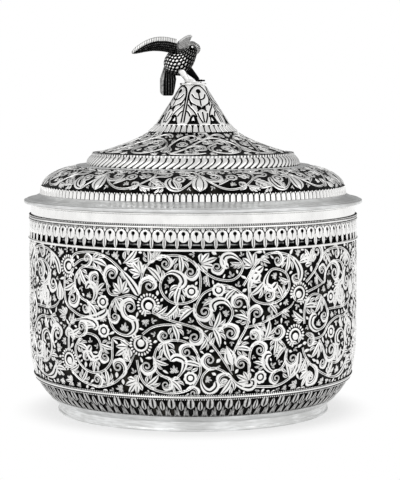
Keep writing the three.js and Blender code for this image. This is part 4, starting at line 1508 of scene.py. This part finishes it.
def crossBand(name, p, band, node, body, size=1.0):  # one repeat, then its copies round the band
    period = 2 * math.pi * band.girth / p["repeats"]
    pattern = Pattern(p["seed"], period)
    for line in p["hooks"]:
        pattern.stem(line, True, p["thick"])
    for line in p["stems"]:
        pattern.stem(line, False, p["thick"])
    for spot in p["rosettes"]:
        pattern.put("rosette", spot, 0.3, size * 0.98)
    pattern.curls(p["curls"], 0.6 * size, 1.15 * size)
    pattern.leaves("leaf", p["leaves"], 4.2 * size, 6.8 * size)
    pattern.leaves("spur", p["spurs"], 4.5 * size, 7 * size)
    for label, x, y, turn, scale in p["single"]:
        pattern.put(label, (x, y), math.radians(turn), scale)
    pattern.fill(band.start, band.start + band.height, 0, period, least=1.7 * size, margin=0.75 * size)
    spots = pattern.spots
    lines = pattern.lines
    pattern.spots = []
    pattern.lines = []
    for i in range(p["repeats"]):
        shift = period * i + band.girth * math.radians(p["turn"])
        pattern.spots += [(kind, (x + shift, y), turn, scale) for kind, (x, y), turn, scale in spots]
        pattern.lines += [([(x + shift, y) for x, y in points], radii) for points, radii in lines]
    piece = pattern.build(name, band, body, [node])
    print(" ", name, len(piece.data.polygons), "faces")


def makeDome(p):
    groundRing("dome_ground", domeLine(plate["ground"]), domeLine(-lidShape["wall"]), "lid", ["lid_dome"])
    crossBand("dome_scrolls", p, domeBand, "lid_dome", "lid")


stepShape = {"under": 4.2, "edge": 0.3, "round": 0.12}


def makeStep(p):
    low, high = ends("lid_step")
    outer = radius("lid_step")
    inner = radius("gadroon_ring") - p["under"]
    outline = [(inner, low), (outer - p["edge"], low), (outer, (low + high) / 2),
               (outer - p["edge"], high + 0.02), (inner, high + 0.02)]
    plainRing("step_ring", outline, "lid", ["lid_step"], "satin_silver", p["round"])


gadroons = {"count": 96, "inset": 0.9, "bulge": 3.2, "power": 2.2, "width": 5.4, "lean": 1.25, "bow": 0.55,
            "half": 0.42, "pinch": 0.12, "end": 0.15}


def makeGadroons(p):
    low, high = ends("gadroon_ring")
    outer = radius("gadroon_ring")
    line = []
    for i in range(17):
        t = i / 16
        line.append((outer - p["inset"] - p["bulge"] * t ** p["power"], low + (high - low) * t))
    band = Band("gadroon", line, outer, True)
    pitch = 2 * math.pi * outer / p["count"]
    steps = 10
    path = []
    half = []
    for i in range(steps + 1):
        t = i / steps
        sway = p["lean"] * pitch * (t - 0.5) + p["bow"] * pitch * math.sin(math.pi * t)
        path.append((sway, band.start + band.height * (0.02 + 0.96 * t)))
        swell = p["half"]
        if t < p["end"]:
            swell -= p["pinch"] * (1 - t / p["end"])
        elif t > 1 - p["end"]:
            swell -= p["pinch"] * (t - 1 + p["end"]) / p["end"]
        tilt = math.atan((p["lean"] + p["bow"] * math.pi * math.cos(math.pi * t)) * pitch / band.height)
        half.append((pitch * swell * math.cos(tilt),) * 2)
    section = [(-1, -0.15), (-1, 0.4), (-0.8, 0.68), (-0.4, 0.76), (0, 0.8), (0.4, 0.76), (0.8, 0.68),
               (1, 0.4), (1, -0.15)]
    cell = Motif().strip(path, half, section)
    border("gadroon_lobes", band, cell, p["count"], "lid", ["gadroon_ring"])
    inner = outer - p["width"]
    groundRing("gadroon_ground", line, [(inner, low), (inner, high)], "lid", ["gadroon_ring"])


milledShape = {"count": 170, "width": 2.4}


def makeMilled(p):
    low, high = ends("milled_ring")
    outer = radius("milled_ring")
    line = [(outer - 0.75, low), (outer - 0.65, (low + high) / 2), (outer - 0.95, high)]
    band = Band("milled", line, outer)
    pitch = 2 * math.pi * outer / p["count"]
    cell = Motif().petal((-0.25, low + 0.02), (0.25, high - 0.02), pitch * 0.85, section=domed, steps=5,
                         lift=0.75)
    border("milled_ribs", band, cell, p["count"], "lid", ["milled_ring"])
    inner = outer - p["width"]
    groundRing("milled_ground", line, [(inner, low), (inner, high)], "lid", ["milled_ring"], "satin_silver")


flare = {
    "repeats": 6,
    "turn": -14,
    "thick": 1.08,
    "hooks": [
        [(0, 4), (7, 12), (15, 23), (25, 32), (36, 32), (44, 25), (46.5, 16), (41, 7), (32, 4.5), (25, 9),
         (25, 16), (30, 20)],
        [(0, 4), (-4, 12), (-4, 22), (0, 31), (7, 37), (14, 37), (15, 31), (9, 28)],
        [(26, 32.5), (34, 39), (42, 39), (45, 34)],
    ],
    "stems": [[(0, 4), (10, 3), (20, 5)]],
    "rosettes": [(36.5, 14), (4.5, 21)],
    "curls": [(35.5, 24), (16, 13), (22, 24), (22, 40)],
    "leaves": [(28, 25.5), (37.5, 8.5), (12, 8), (30, 36), (6, 32)],
    "spurs": [(50, 27), (20, 34)],
    "single": [("bud", 49.5, 17, -90, 1.7)],
    "seed": 5,
}


def makeFlare(p):
    low, high = ends("flare_band")
    groundRing("flare_ground", spireLine(low, high, plate["ground"]),
               spireLine(low, high, -lidShape["wall"]), "lid", ["flare_band"])
    band = Band("flare", spireLine(low, high, plate["ground"], 60), radius("flare_band"), True,
                depth=0.6)
    crossBand("flare_scrolls", p, band, "flare_band", "lid", 1.35)


neckShape = {"count": 44, "turn": 0.9, "width": 0.43}


def makeNeck(p):
    low, high = ends("neck_border")
    line = spireLine(low, high, plate["ground"])
    band = Band("neck", line, spireRadius(low), True)
    pitch = 2 * math.pi * band.girth / p["count"]
    half = pitch * p["width"]
    path = [(0, band.start + band.height * t) for t in (0.02, 0.12, 0.5, 0.72, 0.86, 0.95, 0.985)]
    widths = [(half * w, half * w) for w in (0.85, 1, 1, 0.97, 0.78, 0.45, 0.15)]
    border("neck_flutes", band, Motif().strip(path, widths, fluted(0.67)), p["count"], "lid",
           ["neck_border"], p["turn"] * pitch / 2)
    groundRing("neck_ground", line, spireLine(low, high, -lidShape["wall"]), "lid", ["neck_border"])


makeFlange(lidShape)
makeLidTongues(lidTongues)
makeDome(dome)
makeStep(stepShape)
makeGadroons(gadroons)
makeMilled(milledShape)
makeFlare(flare)
makeNeck(neckShape)
print("lid bands ready")


# Pierced cone. Its surface unrolls flat, so that distances to the engraved lines are true.

engraving = {
    "motifs": 5,
    "turn": 19,
    "columns": 108,
    "rows": 104,
    "wall": 1.1,
    "sunk": 0.35,  # the ground lies this far under the outline, and the relief stands up from it
    "relief": 0.4,
    "reveal": 1.15,
    "lineWidth": 0.44,
    "dot": (0, 20.9, 1.25),
    "lines": [
        [(0, 19.6), (0, 12.2)],
        [(-22, 18.8), (-14, 16.7), (-4, 15.7)],
        [(0, 24.3), (-14, 23.8), (-25, 22.1), (-31, 19.2), (-30, 16.2), (-23, 13.6), (-13, 12.2)],
        [(-14, 23.9), (-25, 22.6), (-31.5, 20), (-33, 16), (-33.5, 8), (-33.6, 1.9)],
        [(-29.5, 12.4), (-26, 11), (-20, 9.4), (-15, 7.4), (-12, 5.2)],
        [(-30.5, 8.4), (-27, 7.2), (-24.5, 5.6)],
        [(-26.5, 14), (-22.5, 12.2)],
        [(-9.5, 7.2), (-7, 4.6), (-3, 1.7)],
        [(0, 7.8), (0, 1.9)],
        [(-9, 8.7), (-5, 9.7), (0, 10.1)],
    ],
    "holes": [
        [(-11, 12.1), (-6, 11.6), (-1, 10.9), (-4, 9.9), (-8, 8.8), (-9.5, 10.4)],
        [(-28.3, 0.5), (-25.2, 2.6), (-23.4, 4.6), (-20.5, 5.9), (-17.5, 6.2), (-14.6, 5.6), (-12.6, 4.4),
         (-11.2, 2.4), (-9.4, 0.5)],
    ],
}

coneLean = math.sin(math.atan(spireShape["slope"]))  # a flat turn's share of the turn about the axis


def unrolled(turn, rise):  # degrees from the motif's middle and slant height to a flat place
    reach = spireRadius(coneFoot) / coneLean - rise
    a = math.radians(turn) * coneLean
    return np.array((reach * math.sin(a), reach * math.cos(a)))


def lineDistance(x, y, points):
    best = np.full(x.shape, 1e3)
    for (ax, ay), (bx, by) in zip(points, points[1:]):
        dx = bx - ax
        dy = by - ay
        t = np.clip(((x - ax) * dx + (y - ay) * dy) / (dx * dx + dy * dy), 0, 1)
        best = np.minimum(best, np.hypot(x - ax - t * dx, y - ay - t * dy))
    return best


def holeDepth(x, y, points):  # distance to the hole's edge, above 0 inside it
    inside = np.zeros(x.shape, bool)
    for (ax, ay), (bx, by) in zip(points, points[1:] + points[:1]):
        crosses = (ay > y) != (by > y)
        inside ^= crosses & (x < ax + (bx - ax) * (y - ay) / (by - ay if by != ay else 1e-9))
    return np.where(inside, 1, -1) * lineDistance(x, y, points + points[:1])


def bothSides(shapes):  # each flat outline, then its mirror image
    for points in shapes:
        for side in (1, -1):
            flat = [unrolled(side * turn, rise) for turn, rise in points]
            yield [tuple(spot) for spot in catmull(flat, 6)]


def engravedField(p, half):  # one motif: the height of its surface, and the depth into its openings
    slant = (coneTop - coneFoot) * math.hypot(1, spireShape["slope"])
    turns, rises = np.meshgrid(np.linspace(-half, half, p["columns"] + 1),
                               np.linspace(0, slant, p["rows"] + 1))
    reach = spireRadius(coneFoot) / coneLean - rises
    x = reach * np.sin(np.radians(turns) * coneLean)
    y = reach * np.cos(np.radians(turns) * coneLean)
    groove = np.full(x.shape, 1e3)
    for line in bothSides(p["lines"]):
        groove = np.minimum(groove, lineDistance(x, y, line))
    turn, rise, size = p["dot"]
    spot = unrolled(turn, rise)
    away = np.hypot(x - spot[0], y - spot[1])
    groove = np.minimum(groove, np.abs(away - size * 0.8) + 0.05)
    groove = np.where(away < size * 0.8, np.minimum(groove, 0.24), groove)
    hole = np.full(x.shape, -1e3)
    for outline in bothSides(p["holes"]):
        hole = np.maximum(hole, holeDepth(x, y, outline))
    relief = np.clip(0.1 + (groove - p["lineWidth"] * 0.5) / p["lineWidth"] * 0.9, 0.05, 0.95)
    edge = np.clip(np.minimum(rises, slant - rises) / 0.35, 0, 1) * 0.35 + 0.55
    relief = np.minimum(relief, edge)
    return np.where(hole > -0.1, 0.05, relief), hole


def makeCone(p):
    half = 180 / p["motifs"]
    relief, hole = engravedField(p, half)
    recess = np.clip((hole + 0.1) / 0.25, 0, 1)
    verts = []
    marks = []
    total = p["columns"] * p["motifs"]
    for side in (0, 1):  # outer and inner skins
        for row in range(p["rows"] + 1):
            z = coneFoot + (coneTop - coneFoot) * row / p["rows"]
            for column in range(total):
                k = column % p["columns"]
                a = math.radians(p["turn"] - half + 360 * column / total)
                height = max(relief[row, k], 0.05)
                r = spireRadius(z) - p["sunk"] + height * p["relief"] - recess[row, k] * p["relief"]
                if side == 1:
                    r = spireRadius(z) - p["wall"]
                verts.append((r * math.sin(a), -r * math.cos(a), z))
                # the inner skin takes a low relief value and shows dark: painted shade inside the cone
                marks.append(height if side == 0 else 0.2)
    layer = (p["rows"] + 1) * total

    def solid(row, column):
        k = column % p["columns"]
        return hole[row:row + 2, k:k + 2].mean() < p["reveal"]

    def at(row, column, side):
        return side * layer + row * total + column % total

    cells = [(row, column) for row in range(p["rows"]) for column in range(total) if solid(row, column)]
    kept = set(cells)
    faces = []
    for row, column in cells:
        a = (row, column)
        b = (row, column + 1)
        c = (row + 1, column + 1)
        d = (row + 1, column)
        faces.append((at(*a, 0), at(*b, 0), at(*c, 0), at(*d, 0)))
        faces.append((at(*d, 1), at(*c, 1), at(*b, 1), at(*a, 1)))
        around = {(row - 1, column): (b, a), (row, (column + 1) % total): (c, b), (row + 1, column): (d, c),
                  (row, (column - 1) % total): (a, d)}
        for near, (start, end) in around.items():
            if near not in kept:
                faces.append((at(*end, 0), at(*end, 1), at(*start, 1), at(*start, 0)))
    used = sorted({i for face in faces for i in face})
    place = {old: new for new, old in enumerate(used)}
    obj = newObject("cone_shell", [verts[i] for i in used],
                    [tuple(place[i] for i in face) for face in faces])
    mark(obj, [marks[i] for i in used])
    faceOut(obj)
    shade(obj)
    obj.data.materials.append(finishes["chased_silver"])
    seat(obj, "lid", ["finial_cone"])
    print("  cone_shell", len(obj.data.polygons), "faces")


def mark(obj, values):  # the relief that the finish reads; on the bird and the cone's inner skin it also carries painted shade and a painted highlight
    attribute = obj.data.attributes.new("relief", "FLOAT", "POINT")
    attribute.data.foreach_set("value", np.array(values, dtype=np.float32))


capShape = {"bore": 1.8, "edge": 0.25, "round": 0.12}


def makeCap(p):
    low, high = ends("cap_plate")
    outer = radius("cap_plate")
    outline = [(p["bore"], low), (outer - p["edge"], low), (outer, (low + high) / 2),
               (outer - p["edge"], high), (p["bore"], high)]
    plainRing("cap_disc", outline, "lid", ["cap_plate"], corner=p["round"])


# Bird. Its places are shares of its height from the middle of the cap, as the solids have them.

bird = {
    "height": 25.9,
    "perch": foot("bird_near_leg"),
    "trunk": [(-0.57, 0.21, 0.25, 0.6), (-0.52, 0.19, 0.28, 3.2), (-0.43, 0.13, 0.34, 5.8),
              (-0.33, 0.06, 0.39, 7.2), (-0.23, -0.01, 0.44, 6.8), (-0.13, -0.08, 0.52, 5.2),
              (-0.06, -0.13, 0.61, 3.9), (-0.02, -0.15, 0.7, 3.6), (-0.01, -0.16, 0.77, 3.0),
              (0, -0.17, 0.82, 1.0)],
    "beak": [(0.03, -0.215, 0.745, 1.4), (0.085, -0.262, 0.72, 1.25), (0.115, -0.29, 0.665, 1.0),
             (0.105, -0.3, 0.61, 0.65), (0.075, -0.3, 0.57, 0.25)],
    "nearLeg": [(-0.27, -0.1, 0.28, 2.2), (-0.22, -0.11, 0.2, 1.85), (-0.17, -0.12, 0.12, 1.5),
                (-0.12, -0.12, 0.04, 1.1)],
    "farLeg": [(-0.14, 0.06, 0.29, 2.3), (-0.05, 0.065, 0.2, 1.95), (0.03, 0.07, 0.12, 1.45),
               (0.1, 0.08, 0.04, 1.1)],
    "nearFoot": (-0.12, -0.12),
    "farFoot": (0.12, 0.07),
    "toe": (2.8, 0.72),
    "eye": (-0.015, -0.3, 0.705, 0.9),
    "scales": (19, 20),
}


def birdPlace(x, y, z):
    return Vector((x * bird["height"], y * bird["height"], bird["perch"] + z * bird["height"]))


def tube(stations, sides, steps, surface):  # round sections along a smooth line; surface: its relief
    centres = catmull([birdPlace(*s[:3]) for s in stations], steps=steps)
    radii = catmull([Vector((s[3], 0, 0)) for s in stations], steps=steps)
    verts = []
    marks = []
    across = None
    last = len(centres) - 1
    for i, centre in enumerate(centres):
        along = (centres[min(i + 1, last)] - centres[max(i - 1, 0)]).normalized()
        across = across or Vector((along.z, 0, -along.x))
        across = across - along * along.dot(across)
        across.normalize()
        up = along.cross(across)
        for k in range(sides):
            a = 2 * math.pi * k / sides
            out = across * math.cos(a) + up * math.sin(a)
            height, shown = surface(i / last, k / sides, centre + out * radii[i].x)
            verts.append(tuple(centre + out * (radii[i].x + height)))
            marks.append(shown)
    return verts, cappedFaces(last + 1, sides), marks


def birdPiece(name, parts, replaced):
    verts = []
    faces = []
    marks = []
    for partVerts, partFaces, partMarks in parts:
        start = len(verts)
        verts += partVerts
        faces += [tuple(start + i for i in face) for face in partFaces]
        marks += partMarks
    obj = newObject(name, verts, faces)
    mark(obj, marks)
    faceOut(obj)
    shade(obj, reliefAngle)
    obj.data.materials.append(finishes["chased_silver"])
    seat(obj, "lid", replaced)
    print(" ", name, len(obj.data.polygons), "faces")


def scaled(along, around, spot):  # overlapping scales, with a painted highlight that makes the lower breast brighter
    rows, columns = bird["scales"]
    rise = (spot.z - bird["perch"]) / bird["height"]
    v = along * rows
    best = (0, 0)
    for row in (math.floor(v), math.floor(v) + 1):
        u = around * columns + 0.5 * (row % 2)
        off = u - round(u)
        near = math.hypot(off * 2.0, (v - row) * 1.15)
        best = max(best, (1 - near, row))
    near = 1 - best[0]
    ring = min(max((0.62 - near) / 0.22, 0), 1)
    core = min(near / 0.25, 1)
    lit = 0.3 + 0.5 * ring * (0.6 + 0.4 * core)
    # a painted highlight: a bright patch on the lower breast
    paintedHighlight = max(0, 1 - math.hypot((spot.x / bird["height"] + 0.36) / 0.26, (rise - 0.4) / 0.2)) ** 0.5
    crown = min(max((rise - 0.64) / 0.05, 0), 1)
    shown = (0.15 + lit * ring) * (0.57 + 0.4 * paintedHighlight)
    return 0.3 * ring - 0.22, shown * (1 - crown) + crown * 0.52


def ball(spot, size, squash, shown, steps=10):
    verts = []
    for i in range(1, steps):
        a = math.pi * i / steps
        for k in range(2 * steps):
            b = math.pi * k / steps
            verts.append((spot[0] + size * math.sin(a) * math.cos(b),
                          spot[1] + size * math.sin(a) * math.sin(b),
                          spot[2] + size * squash * math.cos(a)))
    return verts, cappedFaces(steps - 1, 2 * steps), [shown] * len(verts)


def makeBirdBody(p):
    trunk = tube(p["trunk"], 144, 18, scaled)
    eye = birdPlace(*p["eye"][:3])
    # a dark ball round and under the eye: painted shade
    rim = ball(eye + Vector((-0.3, 0.9, -0.3)), p["eye"][3] * 1.7, 1, 0.1)
    birdPiece("bird_body_scales", [trunk, rim], ["bird_body"])
    birdPiece("bird_eye", [ball(eye, p["eye"][3] * 0.8, 1, 0.95)], [])
    birdPiece("bird_bill", [tube(p["beak"], 24, 8, lambda t, a, s: (0, 0.5 + 0.1 * math.sin(60 * t)))],
              ["bird_beak"])


def legParts(stations, spot, shank, toes):  # shank and toes: their tone, how far each is cleared of oxide; the far leg's low values are painted shade
    parts = [tube(stations, 28, 8, lambda along, around, place: (0, shank))]
    reach, size = bird["toe"]
    root = birdPlace(spot[0], spot[1], 0) + Vector((0, 0, size))
    for turn in (-35, 0, 35, 180):
        ahead = Vector((0.77, -0.64, 0))
        ahead.rotate(Matrix.Rotation(math.radians(turn), 3, "Z"))
        long = reach * (0.6 if turn == 180 else 1)
        for k in range(3):
            parts.append(ball(root + ahead * long * k / 2, size * (1.05 - 0.15 * k), 0.9, toes))
    return parts


def makeLegs(p):
    birdPiece("bird_near_shank", legParts(p["nearLeg"], p["nearFoot"], 0.85, 0.8), ["bird_near_leg"])
    # the far leg is marked dark: painted shade
    birdPiece("bird_far_shank", legParts(p["farLeg"], p["farFoot"], 0.3, 0.3), ["bird_far_leg"])


wings = {  # near and far: root, heading, way of the leading edge, and shares of span, arch and chord
    "span": 24.2,
    "chord": 8.9,
    "thick": 0.9,
    "arch": 2.9,
    "near": ((-0.33, -0.18, 0.71), (-0.99, 0, -0.12), (0, -0.42, 0.91), 1.0, 1.0, 1.0),
    "far": ((-0.28, 0.13, 0.72), (0.36, 0.87, 0.34), (-0.1, -0.1, 0.99), 0.72, 0.0, 0.68),
    "steps": 120,
    "across": 60,
    "camber": 0.18,
    "edge": 0.19,
    "edgeRibs": 26,
    "rows": 7,
    "barbs": 24,
    "barbLean": 0.8,
}


def makeWing(name, p, root, heading, lead, size, archShare, chordShare, replaced, bright):
    root = birdPlace(*root)
    tip = root + Vector(heading) * p["span"] * size
    lead = Vector(lead)
    normal = lead.cross(tip - root).normalized()
    chord = p["chord"] * chordShare
    verts = []
    marks = []
    steps = p["steps"]
    across = p["across"]
    for side in (1, -1):
        for i in range(steps + 1):
            t = i / steps
            centre = root.lerp(tip, t) + Vector((0, 0, p["arch"] * archShare * math.sin(math.pi * t)))
            width = chord * math.sqrt(max(0.002, 1 - t * t))
            for k in range(across + 1):
                v = -1 + 2 * k / across
                share = (v + 1) / 2 * width / chord  # from the leading edge, against the full chord
                height, shown = featherRelief(t, share, bright)
                thin = p["thick"] / 2 * side * math.sqrt(max(0.02, 1 - v * v)) + side * height
                lift = p["camber"] * width * (1 - v * v) + thin
                verts.append(tuple(centre - lead * v * width / 2 + normal * lift))
                marks.append(shown)
    birdPiece(name, [(verts, slabFaces(steps, across), marks)], replaced)


def featherRelief(t, share, bright):  # a bright ribbed edge, then rows of fine dark barbs
    p = wings
    if share < p["edge"]:
        rib = 0.5 + 0.5 * math.cos(2 * math.pi * t * p["edgeRibs"])
        lip = min(share / 0.03, 1)
        return 0.16 * lip + 0.1 * rib, 0.48 + 0.2 * rib
    rows = (share - p["edge"]) * p["rows"]
    quill = 0.5 + 0.5 * math.cos(2 * math.pi * rows)
    barb = 0.5 + 0.5 * math.cos(2 * math.pi * (t * p["barbs"] + rows * p["barbLean"]))
    # painted shade: the near wing's barbs are darker, its underside being in shade
    low = 0.5 if bright else 0.4
    return 0.08 * quill + 0.05 * barb, low + 0.09 * quill * barb


tail = {
    "root": (-0.508, 0.2, 0.31),
    "turn": 20,
    "length": 15.4,
    "width": 9.2,
    "narrow": 0.52,
    "taper": 0.35,
    "thick": 1.1,
    "corner": 2.6,
    "ribs": 6,
    "ribRise": 0.25,
    "steps": 40,
    "across": 72,
}


def makeTail(p):
    root = birdPlace(*p["root"])
    side = Vector((math.cos(math.radians(p["turn"])), math.sin(math.radians(p["turn"])), 0))
    out = Vector((side.y, -side.x, 0))
    verts = []
    marks = []
    steps = p["steps"]
    across = p["across"]
    for face in (0.5, -0.5):
        for i in range(steps + 1):
            t = i / steps
            for k in range(across + 1):
                v = -1 + 2 * k / across
                spread = p["narrow"] + (1 - p["narrow"]) * min(2 * t, 1)
                half = p["width"] / 2 * spread * (1 - p["taper"] * t * t * max(v, 0))
                room = max(abs(v) * half - (half - p["corner"]), 0) / p["corner"]
                fall = p["length"] - p["corner"] * (1 - math.sqrt(max(1 - room * room, 0)))
                rib = 0.5 + 0.5 * math.cos(math.pi * p["ribs"] * (v + 1))
                shown = 0.3 + 0.19 * rib ** 2 if v >= -0.7 else 0.53
                verts.append(tuple(root + side * v * half - Vector((0, 0, fall * t))
                                   + out * ((p["thick"] + p["ribRise"] * rib) * face)))
                marks.append(shown)
    birdPiece("bird_tail_fan", [(verts, slabFaces(steps, across), marks)], ["bird_tail"])


makeCone(engraving)
makeCap(capShape)
makeBirdBody(bird)
makeLegs(bird)
# the near wing is painted darker as shaded, the far wing lighter as lit
makeWing("bird_near_plume", wings, *wings["near"], ["bird_near_wing"], False)
makeWing("bird_far_plume", wings, *wings["far"], ["bird_far_wing"], True)
makeTail(tail)
print("bird ready")

bpy.data.objects.remove(sectionObject)
dropLibrary(motifShelf)
